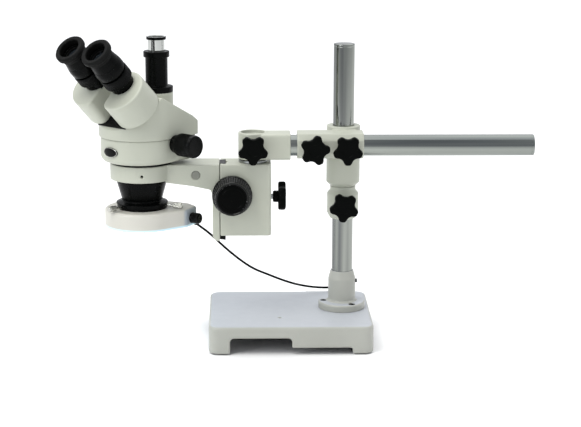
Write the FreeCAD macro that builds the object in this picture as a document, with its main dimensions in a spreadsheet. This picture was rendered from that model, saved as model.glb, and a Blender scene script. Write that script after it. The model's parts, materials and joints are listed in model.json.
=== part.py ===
import FreeCAD, Part
import Sketcher
import math
import os

# Stereo microscope with a trinocular zoom head on a single-arm boom stand and a ring light.
# Millimetres, +Z up. The origin is on the bench under the column's axis; the boom runs along X,
# the head hangs from the boom's -X end, and the operator's side of the base is -Y.

V = FreeCAD.Vector
doc = FreeCAD.newDocument("stereo_microscope")

DIMENSIONS = [
    # base casting and its feet
    ("base_left", 205), ("base_right", 43), ("base_front", 109), ("base_back", 91),
    ("base_lift", 2), ("base_top", 44), ("base_wall", 6), ("base_plate", 9), ("base_corner", 16),
    ("leg_length", 32), ("skirt_gap", 11), ("hand_gap_top", 26), ("hand_gap_right", 80),
    ("foot_radius", 9), ("foot_inset", 16.5), ("foot_recess", 3),
    # column, its socket and its stop collar
    ("column_radius", 16), ("column_bore", 12), ("column_top", 455), ("run_clearance", 0.05),
    ("flange_radius", 36), ("flange_thick", 11), ("socket_radius", 21), ("socket_ridge", 91),
    ("socket_top", 104), ("bolt_circle", 28.5), ("bolt_radius", 3), ("bolt_head", 4.9),
    ("collar_low", 187), ("collar_high", 237), ("collar_radius", 24), ("collar_knob_z", 211),
    # crosshead, boom and knuckle
    ("boom_y", 40), ("boom_z", 307), ("boom_left", 118), ("boom_right", 284), ("boom_bore", 12.5),
    ("sleeve_radius", 25.5), ("sleeve_low", 237.05), ("sleeve_high", 331), ("box_left", 72),
    ("box_right", 27.5), ("box_half", 20), ("post_x", 138), ("knuckle_radius", 22),
    ("knuckle_low", 288), ("knuckle_high", 328), ("knuckle_right", 82),
    ("post_low", 206), ("post_high", 318), ("post_collar_radius", 21.5),
    # focus block, slide and pinion
    ("block_left", 187), ("block_right", 111), ("block_half", 26), ("block_low", 174),
    ("block_high", 282.6), ("pinion_x", 169), ("pinion_z", 238.5), ("shaft_radius", 5),
    ("bush_radius", 7), ("focus_knob_radius", 30), ("focus_knob_face", 24.5),
    ("gear_module", 1), ("gear_teeth", 18), ("gear_width", 12), ("rack_half", 4.9),
    ("slide_low", 166), ("carrier_left", 198.5), ("carrier_right", 187.8),
    # clamp knobs
    ("knob_tip_radius", 22.5), ("knob_lobe_radius", 6.4), ("knob_hub_radius", 8.75),
    ("knob_stud_radius", 3.95), ("knob_neck", 3), ("knob_hub_length", 8), ("knob_thick", 11.5),
    # head
    ("optic_x", 304.5), ("ring_radius", 47), ("ring_bore", 38.2), ("ring_low", 258.5),
    ("mount_high", 286.6), ("lower_front", 61), ("lower_half", 58.3), ("lower_back", 56),
    ("seam_z", 324), ("upper_front", 63.5), ("upper_half", 60.5), ("upper_back", 60),
    ("head_wall", 3.5), ("zoom_x", 11), ("zoom_z", 316), ("zoom_shaft_radius", 4),
    ("zoom_knob_radius", 17), ("port_x", 34.5), ("port_radius", 24.5), ("port_neck_top", 385),
    ("sleeve_tube_radius", 12.45), ("sleeve_tube_bore", 11.6),
    # binocular drums and eyepieces, measured along the inclined eyepiece axis
    ("bend_z", 365), ("face_q", 26.5), ("drum_base_q", 28.6), ("drum_top_q", 75),
    ("drum_radius", 35), ("drum_y", 30), ("drum_x", 22.5), ("drum_flat", 17),
    ("eye_up", 9.5), ("eye_in", 3), ("eyetube_bore", 15.05),
    # ring light
    ("light_radius", 56), ("light_low", 186.3), ("light_high", 213.5), ("light_bore", 33),
    ("light_screw_z", 219), ("screw_radius", 1.95),
    # light cord, its coil and its power adapter
    ("cord_radius", 1.75), ("coil_outer", 26), ("coil_inner", 15), ("coil_height", 14),
]
HEAD_TURN_DEG = -132      # direction in which the eyepieces look out, about +Z from +X
EYE_TILT_DEG = 45         # eyepiece axis from the vertical
LIGHT_SCREW_DEGS = (-138, -18, 102)

sheet = doc.addObject("Spreadsheet::Sheet", "Sizes")
for row, (alias, number) in enumerate(DIMENSIONS, start=1):
    sheet.set("A%d" % row, alias.replace("_", " "))
    sheet.set("B%d" % row, str(number))
    sheet.setAlias("B%d" % row, alias)
doc.recompute()


class Size:
    """A length in millimetres together with the sheet expression that gives it."""

    def __init__(self, value, text):
        self.value = float(value)
        self.text = text

    def __add__(self, other):
        other = size(other)
        return Size(self.value + other.value, "(%s + %s)" % (self.text, other.text))

    def __sub__(self, other):
        other = size(other)
        return Size(self.value - other.value, "(%s - %s)" % (self.text, other.text))

    def __mul__(self, factor):
        return Size(self.value * factor, "(%s * %.9f)" % (self.text, factor))

    def __neg__(self):
        return self * -1.0

    def __radd__(self, other):
        return size(other) + self

    def __rsub__(self, other):
        return size(other) - self

    __rmul__ = __mul__


def size(number):
    """A plain number as a Size; a Size stays as it is."""
    return number if isinstance(number, Size) else Size(number, "(%.6f)" % number)


class Dimensions:
    """Each sheet cell as an attribute, so that d.base_top is the cell's Size."""

    def __init__(self, rows):
        for alias, number in rows:
            setattr(self, alias, Size(number, "Sizes." + alias))


d = Dimensions(DIMENSIONS)


class Frame:
    """A place and a direction: a point given by three Sizes, and a rotation."""

    def __init__(self, origin=(0, 0, 0), rotation=None):
        self.origin = [size(c) for c in origin]
        self.rotation = rotation or FreeCAD.Rotation()

    def point(self, x=0, y=0, z=0):
        """The world coordinates, as Sizes, of a point given in this frame."""
        place = list(self.origin)
        for amount, direction in zip((x, y, z), (V(1, 0, 0), V(0, 1, 0), V(0, 0, 1))):
            world = self.rotation.multVec(direction)
            for axis in range(3):
                if abs(world[axis]) > 1e-9:
                    place[axis] = place[axis] + size(amount) * world[axis]
        return place

    def moved(self, x=0, y=0, z=0, turn=None):
        """A frame at a point of this one, turned by a further rotation."""
        return Frame(self.point(x, y, z), self.rotation * (turn or FreeCAD.Rotation()))


WORLD = Frame()
TO_RIGHT = FreeCAD.Rotation(V(0, 1, 0), 90)       # local Z becomes +X
TO_FRONT = FreeCAD.Rotation(V(1, 0, 0), 90)       # local Z becomes -Y
TO_BACK = FreeCAD.Rotation(V(1, 0, 0), -90)       # local Z becomes +Y
HEAD = Frame((-d.optic_x, -d.boom_y, 0), FreeCAD.Rotation(V(0, 0, 1), HEAD_TURN_DEG))
LIGHT = Frame((-d.optic_x, -d.boom_y, 0))
EYES = HEAD.moved(z=d.bend_z, turn=FreeCAD.Rotation(V(0, 1, 0), EYE_TILT_DEG))

nodes = []


def keep(obj, label, frame=WORLD):
    """Name a finished sub-part, place it, and list it for export."""
    obj.Label = label
    set_place(obj, frame)
    nodes.append(obj)
    return obj


def new_body(name):
    return doc.addObject("PartDesign::Body", name + "_body")


def add_sketch(body, plane, loops=(), circles=(), height=0):
    """A sketch on one of the body's origin planes, every point bound to the sheet."""
    sketch = body.newObject("Sketcher::SketchObject", body.Name + "_sketch")
    support = [f for f in body.Origin.OriginFeatures if f.Role == plane][0]
    sketch.AttachmentSupport = [(support, "")]
    sketch.MapMode = "FlatFace"
    height = size(height)
    sketch.AttachmentOffset = FreeCAD.Placement(V(0, 0, height.value), FreeCAD.Rotation())
    sketch.setExpression(".AttachmentOffset.Base.z", height.text)
    for loop in loops:
        points = [(size(x), size(y)) for x, y in loop]
        first = sketch.GeometryCount
        for (x0, y0), (x1, y1) in zip(points, points[1:] + points[:1]):
            line = Part.LineSegment(V(x0.value, y0.value, 0), V(x1.value, y1.value, 0))
            sketch.addGeometry(line, False)
        for i, (x, y) in enumerate(points):
            after = first + (i + 1) % len(points)
            sketch.addConstraint(Sketcher.Constraint("Coincident", first + i, 2, after, 1))
            bind(sketch, "DistanceX", first + i, 1, x)
            bind(sketch, "DistanceY", first + i, 1, y)
    for x, y, radius in circles:
        x, y, radius = size(x), size(y), size(radius)
        circle = Part.Circle(V(x.value, y.value, 0), V(0, 0, 1), radius.value)
        index = sketch.addGeometry(circle, False)
        bind(sketch, "DistanceX", index, 3, x)
        bind(sketch, "DistanceY", index, 3, y)
        number = sketch.addConstraint(Sketcher.Constraint("Radius", index, radius.value))
        sketch.setExpression("Constraints[%d]" % number, radius.text)
    return sketch


def bind(sketch, kind, geometry, end, coordinate):
    """Hold one coordinate of a sketch point at a sheet expression, measured from the origin."""
    rule = Sketcher.Constraint(kind, -1, 1, geometry, end, coordinate.value)
    sketch.setExpression("Constraints[%d]" % sketch.addConstraint(rule), coordinate.text)


def pad(body, sketch, length, middle=False):
    feature = body.newObject("PartDesign::Pad", body.Name + "_pad")
    return extrude(feature, sketch, length, middle, False)


def pocket(body, sketch, length, middle=False, forward=False):
    """Cut against the sketch's normal, or along it when forward is true."""
    feature = body.newObject("PartDesign::Pocket", body.Name + "_pocket")
    return extrude(feature, sketch, length, middle, forward)


def extrude(feature, sketch, length, middle, reverse):
    length = size(length)
    feature.Profile = sketch
    feature.Length = length.value
    feature.setExpression("Length", length.text)
    feature.Midplane = middle
    feature.Reversed = reverse
    sketch.Visibility = False
    return feature


def revolve(body, outline):
    """Turn an outline of (radius, height) points about the body's own Z axis."""
    sketch = add_sketch(body, "XZ_Plane", loops=[outline])
    feature = body.newObject("PartDesign::Revolution", body.Name + "_turn")
    feature.Profile = sketch
    feature.ReferenceAxis = (sketch, ["V_Axis"])
    feature.Angle = 360
    return feature


def turned(label, outline, frame=WORLD):
    """A sub-part that is turned in one piece."""
    body = new_body(label)
    revolve(body, outline)
    return keep(body, label, frame)


def round_edges(body, radius, choose, kind="Fillet"):
    """Round (or chamfer) the chosen edges of the body as it stands."""
    doc.recompute()
    base = body.Tip
    names = ["Edge%d" % (i + 1) for i, edge in enumerate(base.Shape.Edges) if choose(edge)]
    if not names:
        raise RuntimeError(body.Name + " has no edge to round")
    feature = body.newObject("PartDesign::" + kind, body.Name + "_round")
    feature.Base = (base, names)
    radius = size(radius)
    side = "Radius" if kind == "Fillet" else "Size"
    setattr(feature, side, radius.value)
    feature.setExpression(side, radius.text)
    return feature


def along(edge, axis, tolerance=1e-4):
    """True for a straight edge that runs along one body axis (0, 1 or 2)."""
    box = edge.BoundBox
    spans = (box.XLength, box.YLength, box.ZLength)
    return all(span < tolerance for i, span in enumerate(spans) if i != axis)


def flat_at(edge, z, tolerance=1e-3):
    """True for an edge that lies wholly at one height."""
    return abs(edge.BoundBox.ZMin - z) < tolerance and abs(edge.BoundBox.ZMax - z) < tolerance


def rectangle(x0, x1, y0, y1):
    return [(x0, y0), (x1, y0), (x1, y1), (x0, y1)]


def boss(body, plane, height, length, loops=(), circles=(), middle=False):
    """Add a pad with its own sketch."""
    return pad(body, add_sketch(body, plane, loops, circles, height), length, middle)


def cut(body, plane, height, length, loops=(), circles=(), middle=False, forward=False):
    """Take away a pocket with its own sketch."""
    sketch = add_sketch(body, plane, loops, circles, height)
    return pocket(body, sketch, length, middle, forward)


def pattern(body, kind, feature, count, axis, span_name, span):
    """Repeat the last feature round or along an axis of its own sketch."""
    repeat = body.newObject("PartDesign::" + kind, body.Name + "_pattern")
    repeat.Originals = [feature]
    setattr(repeat, "Axis" if kind == "PolarPattern" else "Direction", (feature.Profile[0], [axis]))
    span = size(span)
    setattr(repeat, span_name, span.value)
    repeat.setExpression(span_name, span.text)
    repeat.Occurrences = count
    body.Tip = repeat
    return repeat


def turned_piece(name, outline, frame):
    """A turned solid in its place that is only part of a sub-part."""
    body = new_body(name)
    revolve(body, outline)
    set_place(body, frame)
    return body


def set_place(obj, frame):
    obj.Placement = FreeCAD.Placement(V(*[c.value for c in frame.origin]), frame.rotation)
    for axis, coordinate in zip("xyz", frame.origin):
        obj.setExpression(".Placement.Base." + axis, coordinate.text)


def cylinder(name, radius, low, high, frame=WORLD):
    """A Part cylinder along the frame's own Z axis, from low to high."""
    obj = doc.addObject("Part::Cylinder", name)
    radius, length = size(radius), size(high) - size(low)
    obj.Radius, obj.Height = radius.value, length.value
    obj.setExpression("Radius", radius.text)
    obj.setExpression("Height", length.text)
    set_place(obj, frame.moved(z=low))
    return obj


def join(name, shapes):
    obj = doc.addObject("Part::MultiFuse", name)
    obj.Shapes = shapes
    return obj


def overlap(name, shapes):
    obj = doc.addObject("Part::MultiCommon", name)
    obj.Shapes = shapes
    return obj


def without(name, base, tools):
    obj = doc.addObject("Part::Cut", name)
    obj.Base = base
    obj.Tool = tools[0] if len(tools) == 1 else join(name + "_tools", tools)
    return obj


def group(label, pieces):
    """Separate solids of the same kind that share one node."""
    obj = doc.addObject("Part::Compound", label + "_group")
    obj.Links = pieces
    obj.Label = label
    nodes.append(obj)
    return obj


def around(radius, degrees, centre=(0, 0)):
    """A point on a circle, as two Sizes."""
    turn = math.radians(degrees)
    return (centre[0] + radius * math.cos(turn), centre[1] + radius * math.sin(turn))


# ---------------------------------------------------------------- stand

BOLT_DEGS = (180, -60, 60)


def base_casting():
    body = new_body("base_casting")
    boss(body, "XY_Plane", d.base_lift, d.base_top - d.base_lift,
         [rectangle(-d.base_left, d.base_right, -d.base_front, d.base_back)])
    round_edges(body, d.base_corner, lambda edge: along(edge, 2))
    round_edges(body, 5, lambda edge: flat_at(edge, d.base_top.value))
    leg_left, leg_right = d.leg_length - d.base_left, d.base_right - d.leg_length
    leg_front, leg_back = d.leg_length - d.base_front, d.base_back - d.leg_length
    skirt = d.skirt_gap - d.base_lift
    cut(body, "XY_Plane", d.base_lift, skirt, forward=True,
        loops=[rectangle(leg_left, leg_right, -d.base_front - 1, d.base_back + 1)])
    cut(body, "XY_Plane", d.base_lift, skirt, forward=True,
        loops=[rectangle(-d.base_left - 1, d.base_right + 1, leg_front, leg_back)])
    # the hollow underneath leaves a solid block over each foot
    left, right = d.base_wall - d.base_left, d.base_right - d.base_wall
    front, back = d.base_wall - d.base_front, d.base_back - d.base_wall
    hollow = [(leg_left, front), (leg_right, front), (leg_right, leg_front), (right, leg_front),
              (right, leg_back), (leg_right, leg_back), (leg_right, back), (leg_left, back),
              (leg_left, leg_back), (left, leg_back), (left, leg_front), (leg_left, leg_front)]
    cut(body, "XY_Plane", d.base_lift, d.base_top - d.base_plate - d.base_lift, [hollow], forward=True)
    # a taller gap in the front skirt gives room for a hand
    cut(body, "XZ_Plane", d.base_front + 1, d.base_wall + 2,
        [rectangle(leg_left, -d.hand_gap_right, 1, d.hand_gap_top)])
    round_edges(body, 6, lambda edge: along(edge, 1) and flat_at(edge, d.hand_gap_top.value))
    # boss and ribs under the column
    under = d.base_top - d.base_plate
    boss(body, "XY_Plane", under - 13, 13.5, circles=[(0, 0, d.flange_radius)])
    boss(body, "XY_Plane", under - 13, 13.5, [rectangle(left - 1, right + 1, -3, 3)])
    boss(body, "XY_Plane", under - 13, 13.5, [rectangle(-100, -94, front + 12, back + 1)])
    cut(body, "XY_Plane", d.base_top, 16,
        circles=[around(d.bolt_circle, a) + (d.bolt_radius + d.run_clearance,) for a in BOLT_DEGS])
    cut(body, "XY_Plane", d.base_top, 4, circles=[(-97.5, -57.5, 2.5)])
    cut(body, "XY_Plane", d.base_lift, d.foot_recess, forward=True,
        circles=[(x, y, d.foot_radius + d.run_clearance) for x, y in foot_places()])
    keep(body, "base_casting")


def foot_places():
    left, right = d.foot_inset - d.base_left, d.base_right - d.foot_inset
    front, back = d.foot_inset - d.base_front, d.base_back - d.foot_inset
    return [(left, front), (right, front), (left, back), (right, back)]


def rubber_feet():
    top = d.base_lift + d.foot_recess
    outline = [(0, 0), (d.foot_radius - 1, 0), (d.foot_radius, 1), (d.foot_radius, top), (0, top)]
    group("rubber_feet", [turned_piece("rubber_foot", outline, WORLD.moved(x, y))
                          for x, y in foot_places()])


def column_socket():
    bore = d.column_radius + d.run_clearance
    flange_top = d.base_top + d.flange_thick
    body = new_body("column_socket")
    revolve(body, [(bore, d.base_top), (d.flange_radius, d.base_top),
                   (d.flange_radius, flange_top - 2), (d.flange_radius - 2, flange_top),
                   (d.socket_radius + 3, flange_top), (d.socket_radius, flange_top + 3),
                   (d.socket_radius, d.socket_ridge), (bore + 1.4, d.socket_top),
                   (bore, d.socket_top)])
    places = [around(d.bolt_circle, a) for a in BOLT_DEGS]
    cut(body, "XY_Plane", flange_top + 5, d.flange_thick + 5,
        circles=[p + (d.bolt_radius + d.run_clearance,) for p in places])
    cut(body, "XY_Plane", flange_top + 5, 10,
        circles=[p + (d.bolt_head + d.run_clearance,) for p in places])
    cut(body, "YZ_Plane", 30, 16, circles=[(0, d.socket_top - 18, 3 + d.run_clearance)])
    keep(body, "column_socket")


def socket_bolts():
    seat = d.base_top + d.flange_thick - 5
    outline = [(0, seat - 17), (d.bolt_radius, seat - 17), (d.bolt_radius, seat), (d.bolt_head, seat),
               (d.bolt_head, seat + 4.2), (d.bolt_head - 0.6, seat + 4.8), (2.4, seat + 4.8),
               (2.4, seat + 2), (0, seat + 2)]
    group("socket_bolts", [turned_piece("socket_bolt", outline, WORLD.moved(*around(d.bolt_circle, a)))
                           for a in BOLT_DEGS])


def socket_set_screw():
    tip, end = d.column_radius + 0.05, d.socket_radius + 2.5
    turned("socket_set_screw", [(0, tip), (2.4, tip), (3, tip + 0.6), (3, end), (1.5, end),
                                (1.5, end - 3), (0, end - 3)],
           WORLD.moved(z=d.socket_top - 18, turn=TO_RIGHT))


def capped_tube(label, radius, bore, low, high, frame):
    """A tube with its far end closed and chamfered."""
    turned(label, [(bore, low), (radius, low), (radius, high - 1.5), (radius - 1.5, high), (0, high),
                   (0, high - 5), (bore, high - 5)], frame)


def clamp_hole(body, plane, height, depth, x, y):
    """The plain hole that a clamp knob's stud goes through."""
    cut(body, plane, height, depth, circles=[(x, y, d.knob_stud_radius + d.run_clearance)])


def stop_collar():
    bore = d.column_radius + d.run_clearance
    body = new_body("stop_collar")
    revolve(body, [(bore, d.collar_low), (d.collar_radius - 4.5, d.collar_low),
                   (d.collar_radius, d.collar_low + 9), (d.collar_radius, d.collar_high - 11),
                   (d.collar_radius - 4.5, d.collar_high - 6),
                   (d.collar_radius - 4.5, d.collar_high), (bore, d.collar_high)])
    clamp_hole(body, "XZ_Plane", 30, 20, 0, d.collar_knob_z)
    keep(body, "stop_collar")


def crosshead():
    bore = d.column_radius + d.run_clearance
    body = new_body("crosshead")
    revolve(body, [(bore, d.sleeve_low), (d.sleeve_radius - 6.2, d.sleeve_low),
                   (d.sleeve_radius - 6.2, d.sleeve_low + 1), (d.sleeve_radius, d.sleeve_low + 6.5),
                   (d.sleeve_radius, d.sleeve_high), (bore, d.sleeve_high)])
    length = d.box_left + d.box_right
    front, back = -d.boom_y - d.box_half, d.box_half - d.boom_y
    top = d.boom_z + d.box_half
    boss(body, "YZ_Plane", -d.box_left, length, circles=[(-d.boom_y, d.boom_z, d.box_half)])
    boss(body, "YZ_Plane", -d.box_left, length,
         [[(front, d.boom_z), (front, top - 10), (front + 6, top), (back, top), (back, d.boom_z)]])
    cut(body, "YZ_Plane", d.box_right + 1, length + 2, circles=[(-d.boom_y, d.boom_z, bore)])
    for x in BOOM_KNOBS.values():
        clamp_hole(body, "XZ_Plane", d.boom_y + d.box_half + 1, 8, x, d.boom_z - 1)
    clamp_hole(body, "XZ_Plane", 0, 40, 0, d.boom_z)
    keep(body, "crosshead")


BOOM_KNOBS = {"boom_clamp_knob_left": -46.5, "boom_clamp_knob_right": 2.4}


def knuckle():
    bore = d.column_radius + d.run_clearance
    body = new_body("knuckle")
    revolve(body, [(0, d.knuckle_low), (d.knuckle_radius, d.knuckle_low),
                   (d.knuckle_radius, d.knuckle_high - 1), (d.knuckle_radius - 1, d.knuckle_high),
                   (0, d.knuckle_high)])
    reach = d.post_x - d.knuckle_right
    boss(body, "XY_Plane", d.knuckle_low, d.knuckle_high - d.knuckle_low - 1,
         [rectangle(0, reach, -d.box_half, d.box_half)])
    round_edges(body, 4, lambda edge: along(edge, 0) and abs(edge.BoundBox.YLength) < 1e-3)
    cut(body, "XY_Plane", d.knuckle_high + 1, 50, circles=[(0, 0, bore)])
    cut(body, "XY_Plane", d.knuckle_high + 1, 7, circles=[(0, 0, d.column_radius + 1.8)])
    cut(body, "YZ_Plane", reach + 1, d.boom_left - d.knuckle_right + 1.1,
        circles=[(0, d.boom_z, bore)])
    clamp_hole(body, "XZ_Plane", d.knuckle_radius + 1, 10, 0, d.boom_z)
    keep(body, "knuckle", POST)


def swivel_post():
    radius, bore, seat = d.column_radius, d.column_bore, d.block_high + 0.2
    turned("swivel_post", [(bore, d.post_low), (radius - 1, d.post_low), (radius, d.post_low + 1),
                           (radius, seat), (d.post_collar_radius, seat),
                           (d.post_collar_radius, seat + 3.6), (radius, seat + 3.6),
                           (radius, d.post_high), (bore, d.post_high)], POST)


POST = WORLD.moved(-d.post_x, -d.boom_y)


# ---------------------------------------------------------------- focus block and slide

SLOT_MOUTH = 14           # half width of the dovetail slot at the block's face
SLOT_FLOOR = 18           # and at its floor
SLOT_DEPTH = 8
SLIDE_GAP = 0.1
FACE_X = d.post_x - d.block_left
PINION = WORLD.moved(-d.pinion_x, -d.boom_y, d.pinion_z, TO_FRONT)
PINION_X = d.post_x - d.pinion_x


def focus_block():
    body = new_body("focus_block")
    right = d.post_x - d.block_right
    boss(body, "XY_Plane", d.block_low, d.block_high - d.block_low,
         [rectangle(FACE_X, right, -d.block_half, d.block_half)])
    round_edges(body, 5, lambda edge: along(edge, 2) and edge.BoundBox.XMin > 0)
    through = d.block_high - d.block_low + 2
    top = d.block_high + 1
    cut(body, "XY_Plane", top, through, circles=[(0, 0, d.column_radius + d.run_clearance)])
    floor_x = FACE_X + SLOT_DEPTH
    cut(body, "XY_Plane", top, through,
        [[(FACE_X - 2, 1 - SLOT_MOUTH), (floor_x, -SLOT_FLOOR), (floor_x, SLOT_FLOOR),
          (FACE_X - 2, SLOT_MOUTH - 1)]])
    channel = d.rack_half + 0.4
    cut(body, "XY_Plane", top, through, [rectangle(floor_x - 1, floor_x + 2.6, -channel, channel)])
    # the pinion's chamber opens into the slot; its shaft runs in bushes from side to side
    chamber = d.gear_module * 12
    half = d.gear_width * 0.5 + 1.7
    cut(body, "YZ_Plane", FACE_X + 4, chamber * 2 + 1.5, forward=True,
        loops=[rectangle(-half, half, d.pinion_z - chamber, d.pinion_z + chamber)])
    cut(body, "XZ_Plane", 0, 80, circles=[(PINION_X, d.pinion_z, d.bush_radius + d.run_clearance)],
        middle=True)
    clamp_hole(body, "YZ_Plane", right + 1, 13, 0, BLOCK_KNOB_Z)
    keep(body, "focus_block", POST)


BLOCK_KNOB_Z = 229


def pinion_bushes():
    inner, bore = d.gear_width * 0.5 + 1.9, d.shaft_radius + d.run_clearance
    outline = [(bore, inner), (d.bush_radius, inner), (d.bush_radius, d.block_half),
               (bore, d.block_half)]
    turn_over = FreeCAD.Rotation(V(1, 0, 0), 180)
    group("pinion_bushes", [turned_piece("pinion_bush", outline, PINION),
                            turned_piece("pinion_bush", outline, PINION.moved(turn=turn_over))])


PRESSURE = math.radians(20)
BACKLASH = 0.06


def involute(angle):
    return math.tan(angle) - angle


def tooth_gap():
    """The outline of one gap between two pinion teeth, centred on the -X side."""
    teeth = GEAR_TEETH
    pitch, base = teeth / 2, teeth / 2 * math.cos(PRESSURE)
    side = []
    for radius in (pitch - 1.25, base, base + 0.35, base + 0.9, pitch + 1.3):
        lean = involute(math.acos(min(1.0, base / radius)))
        tooth_half = math.pi / (2 * teeth) - BACKLASH / pitch + involute(PRESSURE) - lean
        side.append((radius, math.degrees(math.pi / teeth - tooth_half)))
    lower = [around(d.gear_module * r, 180 + a) for r, a in side]
    upper = [around(d.gear_module * r, 180 - a) for r, a in reversed(side)]
    return lower + upper


GEAR_TEETH = 18


def pinion_shaft():
    half = d.gear_width * 0.5
    tip = d.gear_module * (GEAR_TEETH / 2 + 1)
    reach = d.block_half + 32
    body = new_body("pinion_shaft")
    revolve(body, [(0, -reach), (d.shaft_radius, -reach), (d.shaft_radius, -half), (tip, -half),
                   (tip, half), (d.shaft_radius, half), (d.shaft_radius, reach), (0, reach)])
    gap = cut(body, "XY_Plane", half + 0.1, d.gear_width + 0.2, [tooth_gap()])
    pattern(body, "PolarPattern", gap, GEAR_TEETH, "N_Axis", "Angle", 360)
    keep(body, "pinion_shaft", PINION)


def focus_knob(label, frame):
    """A tapered focus knob; its flat face is away from the block."""
    near, far = d.block_half + 3, d.block_half + 39
    body = new_body(label)
    revolve(body, [(0, near + 30), (d.shaft_radius + 0.05, near + 30), (d.shaft_radius + 0.05, near),
                   (d.focus_knob_radius - 6, near), (d.focus_knob_radius - 4, near + 3),
                   (d.focus_knob_radius, near + 5), (d.focus_knob_radius, near + 12),
                   (d.focus_knob_face + 1, near + 34), (d.focus_knob_face, far), (0, far)])
    keep(body, label, frame)


def focus_rack():
    """A rack that a tooth of the pinion's height fits, centred on the pinion."""
    count = 24
    step = d.gear_module * math.pi
    pitch_x = PINION_X - d.gear_module * (GEAR_TEETH / 2)
    tip, root = pitch_x + d.gear_module, pitch_x - d.gear_module * 1.25
    bottom = d.pinion_z - step * (count / 2 + 0.5)
    body = new_body("focus_rack")
    boss(body, "XZ_Plane", 0, d.rack_half * 2, middle=True,
         loops=[rectangle(root - 3, tip, bottom, bottom + step * (count + 1))])
    slope = math.tan(PRESSURE)
    gap_z = bottom + step
    wide = d.gear_module * (math.pi / 4 + BACKLASH + slope * 1.2)
    narrow = d.gear_module * (math.pi / 4 + BACKLASH - slope * 1.25)
    gap = cut(body, "XZ_Plane", 0, d.rack_half * 3, middle=True,
              loops=[[(root, gap_z - narrow), (tip + d.gear_module * 0.2, gap_z - wide),
                      (tip + d.gear_module * 0.2, gap_z + wide), (root, gap_z + narrow)]])
    pattern(body, "LinearPattern", gap, count, "V_Axis", "Length", step * (count - 1))
    keep(body, "focus_rack", POST)


def dovetail_slide():
    gap = SLIDE_GAP
    plate_x = d.post_x - d.carrier_right
    floor_x = FACE_X + SLOT_DEPTH - gap
    body = new_body("dovetail_slide")
    boss(body, "XY_Plane", d.slide_low, d.block_high - d.slide_low,
         [[(plate_x, gap - SLOT_MOUTH), (FACE_X, gap - SLOT_MOUTH), (floor_x, 1.5 * gap - SLOT_FLOOR),
           (floor_x, SLOT_FLOOR - 1.5 * gap), (FACE_X, SLOT_MOUTH - gap), (plate_x, SLOT_MOUTH - gap)]])
    groove = d.rack_half + d.run_clearance
    rack_back = PINION_X - d.gear_module * 10.25 - 3
    half = d.gear_module * (math.pi * 12.5)
    cut(body, "YZ_Plane", rack_back - 0.05, 6, forward=True,
        loops=[rectangle(-groove, groove, d.pinion_z - half - 0.05, d.pinion_z + half + 0.05)])
    keep(body, "dovetail_slide", POST)


def carrier_arm():
    """The casting that joins the focus slide to the ring which holds the head."""
    left, right = -d.carrier_left, -d.carrier_right
    body = new_body("carrier_arm")
    top, low = d.block_high, d.ring_low
    boss(body, "XZ_Plane", 0, d.block_half * 2, middle=True,
         loops=[[(right, d.slide_low), (right, top), (-268, top), (-268, low - 3), (-230, low - 8),
                 (left - 3, low - 14), (left, low - 22), (left, d.slide_low)]])
    round_edges(body, 9, lambda edge: along(edge, 1) and edge.BoundBox.XMax < left.value + 1
                and edge.BoundBox.ZMax < d.slide_low.value + 1)
    boss(body, "XY_Plane", low, top - low, circles=[(-d.optic_x, 0, d.ring_radius)])
    cut(body, "XY_Plane", top + 1, 60, circles=[(-d.optic_x, 0, d.ring_bore)])
    cut(body, "XZ_Plane", d.ring_radius + 2, 14, circles=[(2.6 - d.optic_x, low + 10.5, 2.2)])
    cut(body, "XZ_Plane", d.block_half + 1, 5, circles=[(PLUG_X, PLUG_Z, PLUG_RADIUS)])
    keep(body, "carrier_arm", WORLD.moved(y=-d.boom_y))


PLUG_X, PLUG_Z, PLUG_RADIUS = -223, 267, 6.5


def hole_plug():
    radius = PLUG_RADIUS - 0.05
    turned("hole_plug", [(0, 0), (radius, 0), (radius, 4), (radius - 0.6, 4.6), (0, 4.6)],
           WORLD.moved(PLUG_X, -d.boom_y - d.block_half + 4, PLUG_Z, TO_FRONT))


# ---------------------------------------------------------------- clamp knobs

def star_knob(label, frame, reach):
    """A five-lobed clamp knob; z = 0 is the clamped part's face and +z points away from it."""
    hub = d.knob_neck
    head = hub + d.knob_hub_length
    top = head + d.knob_thick
    core = d.knob_tip_radius - 6.1
    body = new_body(label)
    revolve(body, [(0, -size(reach)), (d.knob_stud_radius, -size(reach)), (d.knob_stud_radius, hub),
                   (d.knob_hub_radius, hub), (d.knob_hub_radius, head), (core, head),
                   (core, top - 1), (core - 2, top), (0, top)])
    lobe = boss(body, "XY_Plane", head, d.knob_thick - 0.5,
                circles=[(d.knob_tip_radius - d.knob_lobe_radius, 0, d.knob_lobe_radius)])
    pattern(body, "PolarPattern", lobe, 5, "N_Axis", "Angle", 360)
    keep(body, label, frame)


def clamp_knob(label, frame, wall, lobe_at=90):
    """A star knob whose stud stops just short of what it clamps; lobe_at is its first lobe's angle."""
    turn = FreeCAD.Rotation(V(0, 0, 1), lobe_at)
    star_knob(label, frame.moved(turn=turn), wall - d.column_radius - 0.1)


def clamp_knobs():
    clamp_knob("stop_collar_knob", WORLD.moved(0, -d.collar_radius, d.collar_knob_z, TO_FRONT),
               d.collar_radius, -97)
    clamp_knob("column_clamp_knob", WORLD.moved(0, d.sleeve_radius, d.boom_z, TO_BACK),
               d.sleeve_radius)
    for (label, x), lobe_at in zip(BOOM_KNOBS.items(), (5, -90)):
        clamp_knob(label, WORLD.moved(x, -d.boom_y - d.box_half, d.boom_z - 1, TO_FRONT),
                   d.box_half, lobe_at)
    clamp_knob("knuckle_knob", POST.moved(0, -d.knuckle_radius, d.boom_z, TO_FRONT),
               d.knuckle_radius, -90)
    block_side = d.post_x - d.block_right
    clamp_knob("block_clamp_knob", POST.moved(block_side, 0, BLOCK_KNOB_Z, TO_RIGHT), block_side)


# ---------------------------------------------------------------- zoom head

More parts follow.
